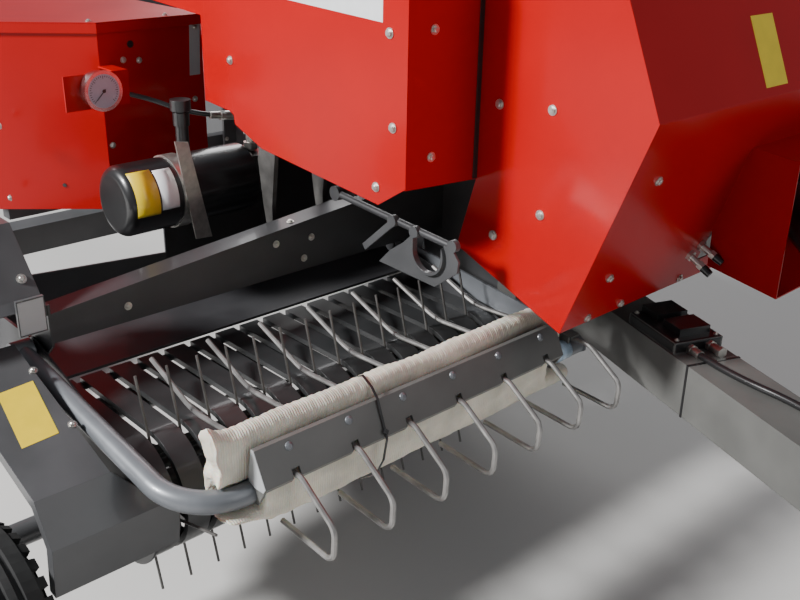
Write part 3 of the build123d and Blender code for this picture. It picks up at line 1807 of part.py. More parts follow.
# Knotter cover: folded sheet with end walls, hinged at its front edge
knotter_cover_path = [
    (20, 940),
    (30, 1180),
    (90, 1230),
    (300, 1230),
    (340, 1150),
]
knotter_hinge_y = 0
knotter_hinge_z = 960
with BuildPart() as knotter_cover:
    side_plate(case_right_x + 6, case_left_x - 6, folded(knotter_cover_path, -skin))
    for wall_x in (case_right_x + 6, case_left_x - 6 - skin):
        side_plate(wall_x, wall_x + skin, knotter_cover_path + [(340, 980), (60, 940)])
    for lug_x in (400, 700):
        block(lug_x - 13, lug_x + 13, knotter_hinge_y, 22, knotter_hinge_z - 8, knotter_hinge_z + 8)
        bar_x(lug_x - 13, lug_x + 13, knotter_hinge_y, knotter_hinge_z, 22)
        bar_x(
            lug_x - 14,
            lug_x + 14,
            knotter_hinge_y,
            knotter_hinge_z,
            lid_pin + 2 * running_gap,
            Mode.SUBTRACT,
        )
knotter_cover.part.label = "knotter_cover"
export_step(knotter_cover.part, "parts/knotter_cover.step")

with BuildPart() as knotter_hinge:
    for lug_x in (400, 700):
        block(lug_x - 25, lug_x + 25, knotter_hinge_y - 8, knotter_hinge_y + 8, case_top_z, case_top_z + 40)
        for side in (-1, 1):
            block(
                lug_x + side * 19,
                lug_x + side * 25,
                knotter_hinge_y - 8,
                knotter_hinge_y + 8,
                case_top_z + 40,
                knotter_hinge_z + 8,
            )
        bar_x(lug_x - 25, lug_x + 25, knotter_hinge_y, knotter_hinge_z, lid_pin)
knotter_hinge.part.label = "knotter_hinge"
export_step(knotter_hinge.part, "parts/knotter_hinge.step")

# Needles under the case, on a yoke hung from both sides of it
needle_yoke_y = 330
needle_tube_z = 330
needle_pivot_z = 620
needle_sheet = 12
needle_depth = 26
needle_radius = needle_pivot_z - needle_tube_z
needle_tip_turn = 208
needle_outline = [
    (
        needle_yoke_y + (needle_radius + edge) * cos(radians(turn)),
        needle_pivot_z + (needle_radius + edge) * sin(radians(turn)),
    )
    for edge, turns in ((needle_depth / 2, range(270, 215, -6)), (-needle_depth / 2, range(216, 271, 6)))
    for turn in turns
]
needle_outline.insert(
    len(needle_outline) // 2,
    (
        needle_yoke_y + needle_radius * cos(radians(needle_tip_turn)),
        needle_pivot_z + needle_radius * sin(radians(needle_tip_turn)),
    ),
)
with BuildPart() as needle_yoke:
    for side in (-1, 1):
        arm_x = case_centre_x + side * (bale_width / 2 + case_wall + 16)
        block(arm_x - 6, arm_x + 6, needle_yoke_y - 30, needle_yoke_y + 30, needle_tube_z - 20, 655)
        inner_x = case_centre_x + side * (bale_width / 2 + case_wall)
        bar_x(min(arm_x, inner_x), max(arm_x, inner_x), needle_yoke_y, needle_pivot_z, 40)
    bar_x(
        case_centre_x - bale_width / 2 - case_wall - 10,
        case_centre_x + bale_width / 2 + case_wall + 10,
        needle_yoke_y,
        needle_tube_z,
        48,
    )
    for side in (-1, 1):
        needle_x = case_centre_x + side * twine_spacing / 2
        side_plate(needle_x - needle_sheet / 2, needle_x + needle_sheet / 2, needle_outline)
needle_yoke.part.label = "needle_yoke"
export_step(needle_yoke.part, "parts/needle_yoke.step")

# Bale chute: tray hinged behind the tension section, let down level
chute_sheet = 4
chute_floor_top_z = case_under_z + 4
chute_hinge_y = tension_rear_y + 22
chute_hinge_z = chute_floor_top_z - 20
chute_side_x = case_right_x - moving_gap - chute_sheet
chute_other_x = case_left_x + moving_gap
chute_rail_height = 110
chute_pin = 20
with BuildPart() as bale_chute:
    block(
        chute_side_x,
        chute_other_x + chute_sheet,
        chute_hinge_y + 34,
        half_length,
        chute_floor_top_z - chute_sheet,
        chute_floor_top_z,
    )
    for side_x in (chute_side_x, chute_other_x):
        block(
            side_x,
            side_x + chute_sheet,
            chute_hinge_y - 14,
            half_length,
            chute_hinge_z - 14,
            chute_floor_top_z + chute_rail_height,
        )
        bar_x(
            side_x - 1,
            side_x + chute_sheet + 1,
            chute_hinge_y,
            chute_hinge_z,
            chute_pin + 2 * running_gap,
            Mode.SUBTRACT,
        )
bale_chute.part.label = "bale_chute"
export_step(bale_chute.part, "parts/bale_chute.step")

with BuildPart() as chute_hinge:
    for side in (-1, 1):
        ear_x = case_centre_x + side * (bale_width / 2 + case_wall / 2)
        block(
            ear_x - case_wall / 2,
            ear_x + case_wall / 2,
            tension_rear_y - 60,
            chute_hinge_y + 12,
            chute_hinge_z - 14,
            case_under_z,
        )
        outer_x = case_centre_x + side * (bale_width / 2 + case_wall + moving_gap + chute_sheet + 6)
        bar_x(min(ear_x, outer_x), max(ear_x, outer_x), chute_hinge_y, chute_hinge_z, chute_pin)
chute_hinge.part.label = "chute_hinge"
export_step(chute_hinge.part, "parts/chute_hinge.step")

# Plunger inside the case, with its knife edge on the feed side
plunger_rear_y = -680
plunger_gap = 6
with BuildPart() as plunger:
    block(
        case_right_x + case_wall + plunger_gap,
        case_left_x - case_wall - plunger_gap,
        plunger_rear_y - 250,
        plunger_rear_y,
        case_floor_z + plunger_gap,
        case_roof_z - plunger_gap,
    )
    block(
        case_centre_x - 120,
        case_centre_x + 120,
        plunger_rear_y - 251,
        plunger_rear_y - 40,
        case_floor_z + 60,
        case_roof_z,
        Mode.SUBTRACT,
    )
    for side in (-1, 1):
        runner_x = case_centre_x + side * 190
        block(
            runner_x - 20,
            runner_x + 20,
            plunger_rear_y - 250,
            plunger_rear_y,
            case_floor_z + 0.3,
            case_floor_z + plunger_gap,
        )
plunger.part.label = "plunger"
export_step(plunger.part, "parts/plunger.step")

# Oil reservoir on the trough's rear wall: round tank, filler neck, valve block and sight cap
reservoir_diameter = 170
reservoir_right_x = -478
reservoir_left_x = -124
reservoir_y = trough_rear_left_y - trough_sheet - reservoir_diameter / 2
reservoir_z = 796
filler_x = -283
filler_top_z = 1013
valve_left_x = -62
with BuildPart() as oil_reservoir:
    bar_x(reservoir_right_x, reservoir_left_x, reservoir_y, reservoir_z, reservoir_diameter)
    fillet(oil_reservoir.edges().filter_by(GeomType.CIRCLE).sort_by(Axis.X)[0], radius=24)
    bar_z(reservoir_z, filler_top_z, filler_x, reservoir_y, 32)
    bar_z(filler_top_z - 62, filler_top_z - 30, filler_x, reservoir_y, 40)
    bar_z(filler_top_z - 26, filler_top_z, filler_x, reservoir_y, 50)
    block(
        reservoir_left_x,
        valve_left_x,
        reservoir_y - 55,
        reservoir_y + 55,
        reservoir_z - 60,
        reservoir_z + 62,
    )
oil_reservoir.part.label = "oil_reservoir"
export_step(oil_reservoir.part, "parts/oil_reservoir.step")

# Clamp band round the reservoir: its flat bar in front leans outwards at the top
clamp_x = -322
clamp_width = 34
clamp_sheet = 4
clamp_front_y = reservoir_y - reservoir_diameter / 2 - 2 * clamp_sheet
# Clamp band, the pipe bend on the valve block that the gauge hose screws on, and the sight cap
fitting_x = -88
fitting_pipe = 22
nut_radius = 19
nut_height = 18
pipe_bend = 24
pipe_top_z = reservoir_z + 152
fitting_start = (fitting_x - 72, reservoir_y + 5, pipe_top_z + 9)
with BuildPart() as oil_fittings:
    bar_x(
        clamp_x - clamp_width / 2,
        clamp_x + clamp_width / 2,
        reservoir_y,
        reservoir_z,
        reservoir_diameter + 2 * clamp_sheet,
    )
    bar_x(
        clamp_x - clamp_width / 2 - 1,
        clamp_x + clamp_width / 2 + 1,
        reservoir_y,
        reservoir_z,
        reservoir_diameter + 2 * running_gap,
        Mode.SUBTRACT,
    )
    front_plate(
        clamp_front_y,
        clamp_front_y + clamp_sheet + 1,
        [
            (clamp_x - 36, reservoir_z + 144),
            (clamp_x - 2, reservoir_z + 138),
            (clamp_x + 48, reservoir_z - 104),
            (clamp_x + 4, reservoir_z - 101),
        ],
    )
    with BuildLine() as fitting_path:
        FilletPolyline(
            (fitting_x, reservoir_y, reservoir_z + 62),
            (fitting_x, reservoir_y, pipe_top_z),
            fitting_start,
            radius=pipe_bend,
        )
    with BuildSketch(Plane(origin=fitting_path.line @ 0, z_dir=fitting_path.line % 0)) as pipe_section:
        Circle(fitting_pipe / 2)
    sweep(pipe_section.sketch, path=fitting_path.line)
    for nut_z in (reservoir_z + 66, reservoir_z + 106):
        with BuildSketch(Plane.XY.offset(nut_z)) as nut_outline:
            with Locations((fitting_x, reservoir_y)):
                RegularPolygon(nut_radius, 6)
        extrude(nut_outline.sketch, amount=nut_height)
    bar_y(reservoir_y - 88, reservoir_y - 55, -101, reservoir_z - 10, 38)
oil_fittings.part.label = "oil_fittings"
export_step(oil_fittings.part, "parts/oil_fittings.step")

# Pressure gauge on a sheet bracket that stands out from the twine box
gauge_case = 95
gauge_x = -432
gauge_z = 1037
gauge_plate_y = -290
with BuildPart() as gauge_bracket:
    block(gauge_x - 80, gauge_x + 84, gauge_plate_y, gauge_plate_y + 4, gauge_z - 46, gauge_z + 36)
    block(gauge_x + 48, gauge_x + 84, gauge_plate_y, -210, gauge_z + 32, gauge_z + 36)
    block(gauge_x + 60, gauge_x + 84, gauge_plate_y, -210, gauge_z - 46, gauge_z - 42)
gauge_bracket.part.label = "gauge_bracket"
export_step(gauge_bracket.part, "parts/gauge_bracket.step")

with BuildPart() as pressure_gauge:
    bar_y(gauge_plate_y - 36, gauge_plate_y, gauge_x, gauge_z, gauge_case - 8)
    bar_y(gauge_plate_y - 36, gauge_plate_y - 24, gauge_x, gauge_z, gauge_case)
    bar_y(gauge_plate_y - 37, gauge_plate_y - 30, gauge_x, gauge_z, gauge_case - 16, Mode.SUBTRACT)
pressure_gauge.part.label = "pressure_gauge"
export_step(pressure_gauge.part, "parts/pressure_gauge.step")

# Hose from the gauge's back to the pipe bend on the reservoir's valve block
gauge_hose_size = 12
gauge_hose_points = [
    (gauge_x + 30, gauge_plate_y + 16, gauge_z - 12),
    (-330, gauge_plate_y + 16, 1012),
    (-239.2, reservoir_y + 10.5, 966.9),
    fitting_start,
]
gauge_hose_radii = bend_radii(gauge_hose_points)
print("gauge hose radii", gauge_hose_radii)
with BuildPart() as gauge_hose:
    with BuildLine() as hose_path:
        FilletPolyline(*gauge_hose_points, radius=gauge_hose_radii)
    with BuildSketch(Plane(origin=hose_path.line @ 0, z_dir=hose_path.line % 0)) as hose_section:
        Circle(gauge_hose_size / 2)
    sweep(hose_section.sketch, path=hose_path.line)
gauge_hose.part.label = "gauge_hose"
export_step(gauge_hose.part, "parts/gauge_hose.step")

# Lift linkage of the pickup: cross shaft on the case, rod and hanger plate
lift_x = -135
lift_rod = 16
lift_rod_rear = (lift_x, -814, 849)
lift_rod_front = (lift_x, -1188, 822)
with BuildPart() as lift_linkage:
    bar_x(lift_x - 8, case_right_x, lift_rod_rear[1], lift_rod_rear[2], 34)
    rod_between(lift_rod_rear, lift_rod_front, lift_rod)
lift_linkage.part.label = "lift_linkage"
export_step(lift_linkage.part, "parts/lift_linkage.step")

hanger_outer_x = lift_x - 13
hanger_inner_x = lift_x - 8
hanger_eye_y = -1127
hanger_eye_z = 797
hanger_eye = 82
link_y = -1010
link_z = 835
with BuildPart() as lift_hanger:
    side_plate(
        hanger_outer_x,
        hanger_inner_x,
        [
            (-973, 734),
            (-1008, 770),
            (-1048, 798),
            (-1076, 824),
            (-1190, 824),
            (-1211, 800),
            (-1208, 775),
            (-1146, 727),
        ],
    )
    bar_x(hanger_outer_x - 8, hanger_inner_x, hanger_eye_y, hanger_eye_z, hanger_eye + 12)
    bar_x(hanger_outer_x - 9, hanger_inner_x + 1, hanger_eye_y, hanger_eye_z, hanger_eye, Mode.SUBTRACT)
    block(
        hanger_outer_x - 9,
        hanger_inner_x + 1,
        hanger_eye_y - hanger_eye / 2,
        hanger_eye_y + hanger_eye / 2,
        hanger_eye_z,
        hanger_eye_z + 60,
        Mode.SUBTRACT,
    )
    for boss_y in (-1190, -1078):
        bar_x(hanger_inner_x - 5, lift_x, boss_y, 828, 26)
    bar_x(hanger_outer_x, lift_x, link_y, link_z, 26)
    side_plate(
        hanger_outer_x,
        hanger_inner_x,
        [
            (link_y - 6, link_z - 10),
            (link_y + 84, link_z - 88),
            (link_y + 93, link_z - 76),
            (link_y + 4, link_z + 2),
        ],
    )
    rod_between(lift_rod_rear, lift_rod_front, lift_rod, Mode.SUBTRACT)
lift_hanger.part.label = "lift_hanger"
export_step(lift_hanger.part, "parts/lift_hanger.step")
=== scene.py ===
"""Looks of the small square baler: paint, rubber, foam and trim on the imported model."""

import math

import bmesh
import bpy
from mathutils import Matrix, Vector, noise


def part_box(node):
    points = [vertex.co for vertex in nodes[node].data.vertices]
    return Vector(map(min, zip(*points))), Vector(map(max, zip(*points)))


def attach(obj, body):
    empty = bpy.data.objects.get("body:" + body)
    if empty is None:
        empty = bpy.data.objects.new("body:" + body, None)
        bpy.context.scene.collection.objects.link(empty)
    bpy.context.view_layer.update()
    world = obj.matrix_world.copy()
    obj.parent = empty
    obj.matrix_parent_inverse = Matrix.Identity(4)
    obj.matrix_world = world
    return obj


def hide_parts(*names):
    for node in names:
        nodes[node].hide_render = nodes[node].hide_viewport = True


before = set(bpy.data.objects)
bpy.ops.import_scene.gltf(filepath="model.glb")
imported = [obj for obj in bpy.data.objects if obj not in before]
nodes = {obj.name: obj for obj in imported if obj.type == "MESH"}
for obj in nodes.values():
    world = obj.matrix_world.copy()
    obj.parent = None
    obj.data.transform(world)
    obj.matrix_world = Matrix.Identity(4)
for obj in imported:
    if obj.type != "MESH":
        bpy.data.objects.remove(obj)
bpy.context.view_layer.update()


def set_socket(made, socket, value):
    """One value on a finish's own shader."""
    made.node_tree.nodes["Principled BSDF"].inputs[socket].default_value = value


def add_speckle(made, cloud, colour, roughness, speckle):
    """Colour and roughness that wander a little with the cloud pattern."""
    tree = made.node_tree
    shader = tree.nodes["Principled BSDF"]
    ramp = tree.nodes.new("ShaderNodeValToRGB")
    ramp.color_ramp.elements[0].position = 0.35
    ramp.color_ramp.elements[1].position = 0.7
    ramp.color_ramp.elements[0].color = (*[c * (1 - speckle) for c in colour], 1.0)
    ramp.color_ramp.elements[1].color = (*[min(1.0, c * (1 + speckle)) for c in colour], 1.0)
    tree.links.new(cloud.outputs["Fac"], ramp.inputs["Fac"])
    tree.links.new(ramp.outputs["Color"], shader.inputs["Base Color"])
    rough = tree.nodes.new("ShaderNodeMapRange")
    rough.inputs["To Min"].default_value = max(0.05, roughness - 0.08)
    rough.inputs["To Max"].default_value = min(1.0, roughness + 0.08)
    tree.links.new(cloud.outputs["Fac"], rough.inputs["Value"])
    tree.links.new(rough.outputs["Result"], shader.inputs["Roughness"])


def material(
    name,
    colour,
    roughness,
    metallic=0.0,
    coat=0.0,
    speckle=0.0,
    grain=40.0,
    bump=0.0,
    edge=0.0,
    depth=0.002,
):
    """A paint, metal or plastic with a faint uneven surface and softened edges."""
    made = bpy.data.materials.new(name)
    made.use_nodes = True
    tree = made.node_tree
    shader = tree.nodes["Principled BSDF"]
    set_socket(made, "Base Color", (*colour, 1.0))
    set_socket(made, "Roughness", roughness)
    set_socket(made, "Metallic", metallic)
    set_socket(made, "Coat Weight", coat)
    set_socket(made, "Coat Roughness", 0.08)
    coords = tree.nodes.new("ShaderNodeTexCoord")
    cloud = tree.nodes.new("ShaderNodeTexNoise")
    cloud.inputs["Scale"].default_value = grain
    cloud.inputs["Detail"].default_value = 6.0
    tree.links.new(coords.outputs["Object"], cloud.inputs["Vector"])
    if speckle:
        add_speckle(made, cloud, colour, roughness, speckle)
    normal = None
    if edge:
        softened = tree.nodes.new("ShaderNodeBevel")
        softened.samples = 4
        softened.inputs["Radius"].default_value = edge
        normal = softened.outputs["Normal"]
    if bump:
        relief = tree.nodes.new("ShaderNodeBump")
        relief.inputs["Strength"].default_value = bump
        relief.inputs["Distance"].default_value = depth
        tree.links.new(cloud.outputs["Fac"], relief.inputs["Height"])
        if normal:
            tree.links.new(normal, relief.inputs["Normal"])
        normal = relief.outputs["Normal"]
    if normal:
        tree.links.new(normal, shader.inputs["Normal"])
    return made


def sheet_paint(name, colour, roughness, coat, speckle, grain, bump, edge=0.0015):
    """Paint on folded sheet, or smooth plastic, whose edges catch the light."""
    return material(name, colour, roughness, 0.0, coat, speckle, grain, bump, edge)


def bare_metal(name, colour, roughness, metallic, speckle, grain, bump, edge=0.0):
    """Metal without paint."""
    return material(name, colour, roughness, metallic, 0.0, speckle, grain, bump, edge)


def glossy_film(name, colour, roughness, coat, speckle, grain=30.0, bump=0.0):
    """A printed or plain plastic film."""
    return material(name, colour, roughness, coat=coat, speckle=speckle, grain=grain, bump=bump)


red_sheet = sheet_paint("red_sheet", (0.42, 0.0, 0.001), 0.32, 0.1, 0.04, 5.0, 0.05)
set_socket(red_sheet, "Specular IOR Level", 0.28)
grey_paint = sheet_paint("grey_paint", (0.070, 0.071, 0.074), 0.36, 0.2, 0.14, 9.0, 0.08)
# The grey paint darkened for trough, beam, pickup frame and lift linkage: painted shade
painted_shade_grey = sheet_paint("painted_shade_grey", (0.040, 0.040, 0.043), 0.42, 0.15, 0.15, 10.0, 0.1)
# The grey paint lightened for drawbar, hitch, jack, main frame and clamp plate: painted sunlight
painted_sunlight_grey = sheet_paint("painted_sunlight_grey", (0.125, 0.125, 0.118), 0.42, 0.15, 0.12, 9.0, 0.08)
light_grey = sheet_paint("light_grey", (0.42, 0.43, 0.44), 0.42, 0.2, 0.06, 9.0, 0.08)
# Stripper bands darkened below their own lighter grey: painted shade over the pickup
band_painted_shade = sheet_paint("band_painted_shade", (0.028, 0.029, 0.030), 0.4, 0.2, 0.2, 12.0, 0.12, 0.001)
tube_grey = material("tube_grey", (0.17, 0.18, 0.195), 0.4, 0.25, 0.2, 0.1, 14.0, 0.1)
black_plastic = sheet_paint("black_plastic", (0.014, 0.014, 0.015), 0.33, 0.4, 0.1, 20.0, 0.08, 0.001)
rubber = material("rubber", (0.018, 0.018, 0.018), 0.85, speckle=0.3, grain=30.0, bump=0.3)
rod_metal = bare_metal("rod_metal", (0.36, 0.35, 0.34), 0.38, 0.75, 0.2, 30.0, 0.1)
bare_steel = bare_metal("bare_steel", (0.32, 0.31, 0.30), 0.42, 0.85, 0.25, 25.0, 0.15, 0.001)
dull_steel = bare_metal("dull_steel", (0.13, 0.125, 0.12), 0.5, 0.7, 0.3, 25.0, 0.15)
bright_metal = bare_metal("bright_metal", (0.72, 0.72, 0.73), 0.22, 1.0, 0.08, 60.0, 0.05)
zinc = bare_metal("zinc", (0.62, 0.60, 0.56), 0.34, 0.9, 0.12, 80.0, 0.08)
yellow_film = glossy_film("yellow_film", (0.85, 0.62, 0.02), 0.35, 0.5, 0.04)
dial_film = glossy_film("dial_film", (0.36, 0.38, 0.45), 0.25, 0.7, 0.05)
white_film = glossy_film("white_film", (0.78, 0.79, 0.80), 0.35, 0.5, 0.03)
black_film = glossy_film("black_film", (0.02, 0.02, 0.02), 0.35, 0.5, 0.03)
blue_film = glossy_film("blue_film", (0.42, 0.55, 0.68), 0.25, 0.6, 0.15, 60.0, 0.5)
foam_white = material(
    "foam_white", (0.72, 0.67, 0.56), 0.6, speckle=0.14, grain=18.0, bump=0.4, depth=0.003
)
set_socket(foam_white, "Subsurface Weight", 0.35)
set_socket(foam_white, "Subsurface Scale", 0.01)


def add_ribs(made, period, strength):
    """Fine ribs across a finish, one after another along X."""
    tree = made.node_tree
    shader = tree.nodes["Principled BSDF"]
    before = shader.inputs["Normal"].links[0].from_socket
    coords = tree.nodes.new("ShaderNodeTexCoord")
    wave = tree.nodes.new("ShaderNodeTexWave")
    wave.wave_type = "BANDS"
    wave.bands_direction = "X"
    pitch_at_unit_scale = 0.314
    wave.inputs["Scale"].default_value = pitch_at_unit_scale / period
    wave.inputs["Distortion"].default_value = 2.5
    wave.inputs["Detail"].default_value = 3.0
    wave.inputs["Detail Scale"].default_value = 1.4
    tree.links.new(coords.outputs["Object"], wave.inputs["Vector"])
    relief = tree.nodes.new("ShaderNodeBump")
    relief.inputs["Strength"].default_value = strength
    relief.inputs["Distance"].default_value = 0.0015
    tree.links.new(wave.outputs["Fac"], relief.inputs["Height"])
    tree.links.new(before, relief.inputs["Normal"])
    tree.links.new(relief.outputs["Normal"], shader.inputs["Normal"])


add_ribs(foam_white, 0.005, 0.45)

# Finish of each node of the model; the rest are in grey paint
finishes = [
    (red_sheet, "feeder_shield drive_hood twine_box twine_box_lid knotter_cover gauge_bracket"),
    (rubber, "left_tyre right_tyre gauge_tyre"),
    (light_grey, "left_rim right_rim gauge_rim"),
    (black_plastic, "joint_bell driveline_guard oil_reservoir gauge_hose drawbar_hose"),
    (tube_grey, "windguard_tube"),
    (rod_metal, "windguard_rods"),
    (bare_steel, "flywheel pto_yoke drawbar_hinge_pin plunger metering_wheel knotters needle_yoke"),
    (dull_steel, "tine_reel feeder_forks"),
    (bright_metal, "pressure_gauge"),
    (zinc, "oil_fittings"),
    (foam_white, "foam_sleeve"),
    # Bands in painted shade
    (band_painted_shade, "stripper_bands"),
    # Parts in painted shade
    (painted_shade_grey, "feed_trough cross_beam pickup_frame lift_linkage"),
    # Parts in painted sunlight
    (painted_sunlight_grey, "drawbar hitch_clevis jack main_frame windguard_plate"),
]
for node in nodes.values():
    node.data.materials.clear()
    node.data.materials.append(grey_paint)
for finish, names in finishes:
    for name in names.split():
        nodes[name].data.materials.clear()
        nodes[name].data.materials.append(finish)


def metres(place):
    """A place given in millimetres."""
    return Vector(place) / 1000.0


def piece(name, shape, look, body, smooth=False):
    """A finished piece of the scene from its mesh in work, riding on a body."""
    mesh = bpy.data.meshes.new(name)
    for face in shape.faces:
        face.smooth = smooth
    shape.to_mesh(mesh)
    shape.free()
    made = bpy.data.objects.new(name, mesh)
    bpy.context.scene.collection.objects.link(made)
    made.data.materials.append(look)
    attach(made, body)
    return made


def facing(place, direction):
    """A turned place: its own Z points along the direction."""
    turn = Vector(direction).to_track_quat("Z", "Y").to_matrix().to_4x4()
    return Matrix.Translation(place) @ turn


def add_disc(shape, place, direction, radius, height, sides=24, top_radius=None):
    """A round or many-sided disc that stands on a surface at the place."""
    bmesh.ops.create_cone(
        shape,
        cap_ends=True,
        segments=sides,
        radius1=radius,
        radius2=radius if top_radius is None else top_radius,
        depth=height,
        matrix=facing(place, direction) @ Matrix.Translation((0, 0, height / 2)),
    )


def add_block(shape, place, size):
    """A straight block of this size about a turned place."""
    corners = bmesh.ops.create_cube(shape, size=1.0)["verts"]
    bmesh.ops.transform(shape, verts=corners, matrix=place @ Matrix.Diagonal((*size, 1)))


def add_bolt(shape, place, direction, across):
    """A hexagon bolt head with its washer."""
    out = Vector(direction).normalized()
    washer_top, head, crown = 0.0016, across * 0.34, 0.0014
    add_disc(shape, place, out, across * 0.8, 0.0018)
    add_disc(shape, place + out * washer_top, out, across * 0.57, head, 6)
    add_disc(shape, place + out * (crown + head), out, across * 0.45, crown, 16, across * 0.32)


def add_bolts(shape, places, direction, across):
    """A bolt head at each place given in millimetres."""
    for place in places:
        add_bolt(shape, metres(place), direction, across)


def add_dome(shape, place, direction, radius):
    """A round bolt head."""
    out = Vector(direction).normalized()
    shoulder = radius * 0.3
    add_disc(shape, place, out, radius, shoulder, 20, radius * 0.88)
    add_disc(shape, place + out * shoulder, out, radius * 0.88, radius * 0.25, 20, radius * 0.45)


def grow(shape, face, reach):
    """Pull a face out along a line and close the piece behind it."""
    grown = bmesh.ops.extrude_face_region(shape, geom=[face])
    moved = [part for part in grown["geom"] if isinstance(part, bmesh.types.BMVert)]
    bmesh.ops.translate(shape, verts=moved, vec=reach)
    return moved


def add_patch(shape, corners, thickness):
    """A thin flat plate from its corners, thickened backwards."""
    face = shape.faces.new([shape.verts.new(metres(corner)) for corner in corners])
    face.normal_update()
    grow(shape, face, -face.normal * thickness)
    bmesh.ops.recalc_face_normals(shape, faces=list(shape.faces))


def add_prism(shape, outline, start_x, end_x):
    """A straight piece along X from its outline of (y, z) corners."""
    face = shape.faces.new([shape.verts.new(metres((start_x, y, z))) for y, z in outline])
    grow(shape, face, ((end_x - start_x) / 1000, 0, 0))
    bmesh.ops.recalc_face_normals(shape, faces=list(shape.faces))


def add_bar(shape, start, end, radius, sides=12):
    """A straight round bar between two points in millimetres."""
    start, end = metres(start), metres(end)
    add_disc(shape, start, end - start, radius, (end - start).length, sides)


# Directions that the machine's faces look in
to_right, to_left = (-1, 0, 0), (1, 0, 0)
to_front, to_rear = (0, -1, 0), (0, 1, 0)
upward = (0, 0, 1)

# Widths across flats of the bolt heads, in metres
sheet_bolt, front_bolt, beam_bolt, small_bolt = 0.013, 0.012, 0.011, 0.010
light_bolt, strip_bolt, valve_bolt, wheel_nut = 0.009, 0.008, 0.007, 0.019

# How far labels and plates lie off their sheets, in millimetres
label_lift = 0.4

# Bolts on the red sheets
shield_x, shield_front_y, shield_seam_x = -235, -1144, -168
hood_right_x, hood_left_x = -35, 900
hood_foot_y, hood_foot_z = -1390, 672
hood_lean, hood_rise = 173, 456
hood_slope = hood_lean / hood_rise
hood_front_out = (0, -hood_rise, -hood_lean)
box_front_y = -210


def hood_front_y(height):
    """Where the hood's leaning front stands at this height."""
    return hood_foot_y - hood_slope * (height - hood_foot_z)


panel_bolts = bmesh.new()
shield_bolts = [(-1094, 1243), (-1106, 1067), (-1059, 939), (-900, 1300), (-620, 1300), (-560, 1120)]
add_bolts(panel_bolts, [(shield_x, y, z) for y, z in shield_bolts], to_right, sheet_bolt)
hood_bolts = [(-1198, 1102), (-1330, 1113), (-1319, 904), (-1180, 1320), (-1380, 1340), (-1200, 830)]
add_bolts(panel_bolts, [(hood_right_x, y, z) for y, z in hood_bolts], to_right, sheet_bolt)
seam_bolts = [(shield_seam_x, shield_front_y, z) for z in (1007, 1250)]
add_bolts(panel_bolts, seam_bolts, to_front, sheet_bolt)
front_bolts = [(60, 780), (800, 780), (60, 1000), (800, 1000)]
front_bolts += [(48, 685), (163, 685), (386, 685), (700, 685), (497, 782)]
front_places = [(x, hood_front_y(z), z) for x, z in front_bolts]
add_bolts(panel_bolts, front_places, hood_front_out, front_bolt)
left_bolts = [(-1200, 1300), (-1200, 760), (-560, 1300), (-560, 760), (-880, 1030)]
add_bolts(panel_bolts, [(hood_left_x, y, z) for y, z in left_bolts], to_left, sheet_bolt)
box_front_bolts = [(-316, 1081), (-273, 1076), (-340, 760), (-120, 760), (-120, 960), (-365, 875)]
add_bolts(panel_bolts, [(x, box_front_y, z) for x, z in box_front_bolts], to_front, small_bolt)
add_bolts(panel_bolts, [(-109, box_front_y - label_lift, 1143)], to_front, strip_bolt)
piece("panel_bolts", panel_bolts, zinc, "chassis")

# Fasteners on the bale case, its hoops and the tension section
case_right_x, case_left_x = 312, 788
hoop_right_x, hoop_left_x = 274, 826
case_low_z, case_high_z = 545, 855
case_bolts = bmesh.new()
for hoop_front_y in (-40, 255, 880):
    for height in (560, 700, 840):
        hoop_places = [(x, hoop_front_y, height) for x in (hoop_right_x, hoop_left_x)]
        add_bolts(case_bolts, hoop_places, to_front, light_bolt)
behind_hood = (60, 200, 340, 480, 620, 760)
beside_box = (-900, -760, -120)
for height in (case_low_z, case_high_z):
    left_places = [(case_left_x, y, height) for y in beside_box + behind_hood]
    add_bolts(case_bolts, left_places, to_left, small_bolt)
    add_bolts(case_bolts, [(case_right_x, y, height) for y in behind_hood], to_right, small_bolt)
tension_ys = (960, 1080, 1200, 1320, 1600)
add_bolts(case_bolts, [(case_left_x, y, case_low_z) for y in tension_ys], to_left, small_bolt)
add_bolts(case_bolts, [(case_right_x, y, case_low_z) for y in tension_ys], to_right, small_bolt)
piece("case_bolts", case_bolts, zinc, "chassis")

# Fasteners of the cross beam and of both covers at the pickup's outer end
beam_front_y = -712
rear_cover_out, drive_cover_out = (0, -0.743, 0.67), (0, -0.301, 0.954)
beam_bolts = bmesh.new()
beam_places = [(-618, 673), (-235, 721), (-132, 715), (-155, 667)]
add_bolts(beam_bolts, [(x, beam_front_y, z) for x, z in beam_places], to_front, beam_bolt)
add_bolts(beam_bolts, [(-176, -690, 756)], (-98, 0, 1103), beam_bolt)
add_bolts(beam_bolts, [(x, -662, 769.4) for x in (-813, -930)], rear_cover_out, sheet_bolt)
piece("beam_bolts", beam_bolts, zinc, "chassis")
cover_bolts = bmesh.new()
cover_places = [(-864, -940, 582.7), (-862, -785, 631.5), (-975, -785, 631.5)]
add_bolts(cover_bolts, cover_places, drive_cover_out, beam_bolt)
piece("cover_bolts", cover_bolts, zinc, "pickup")

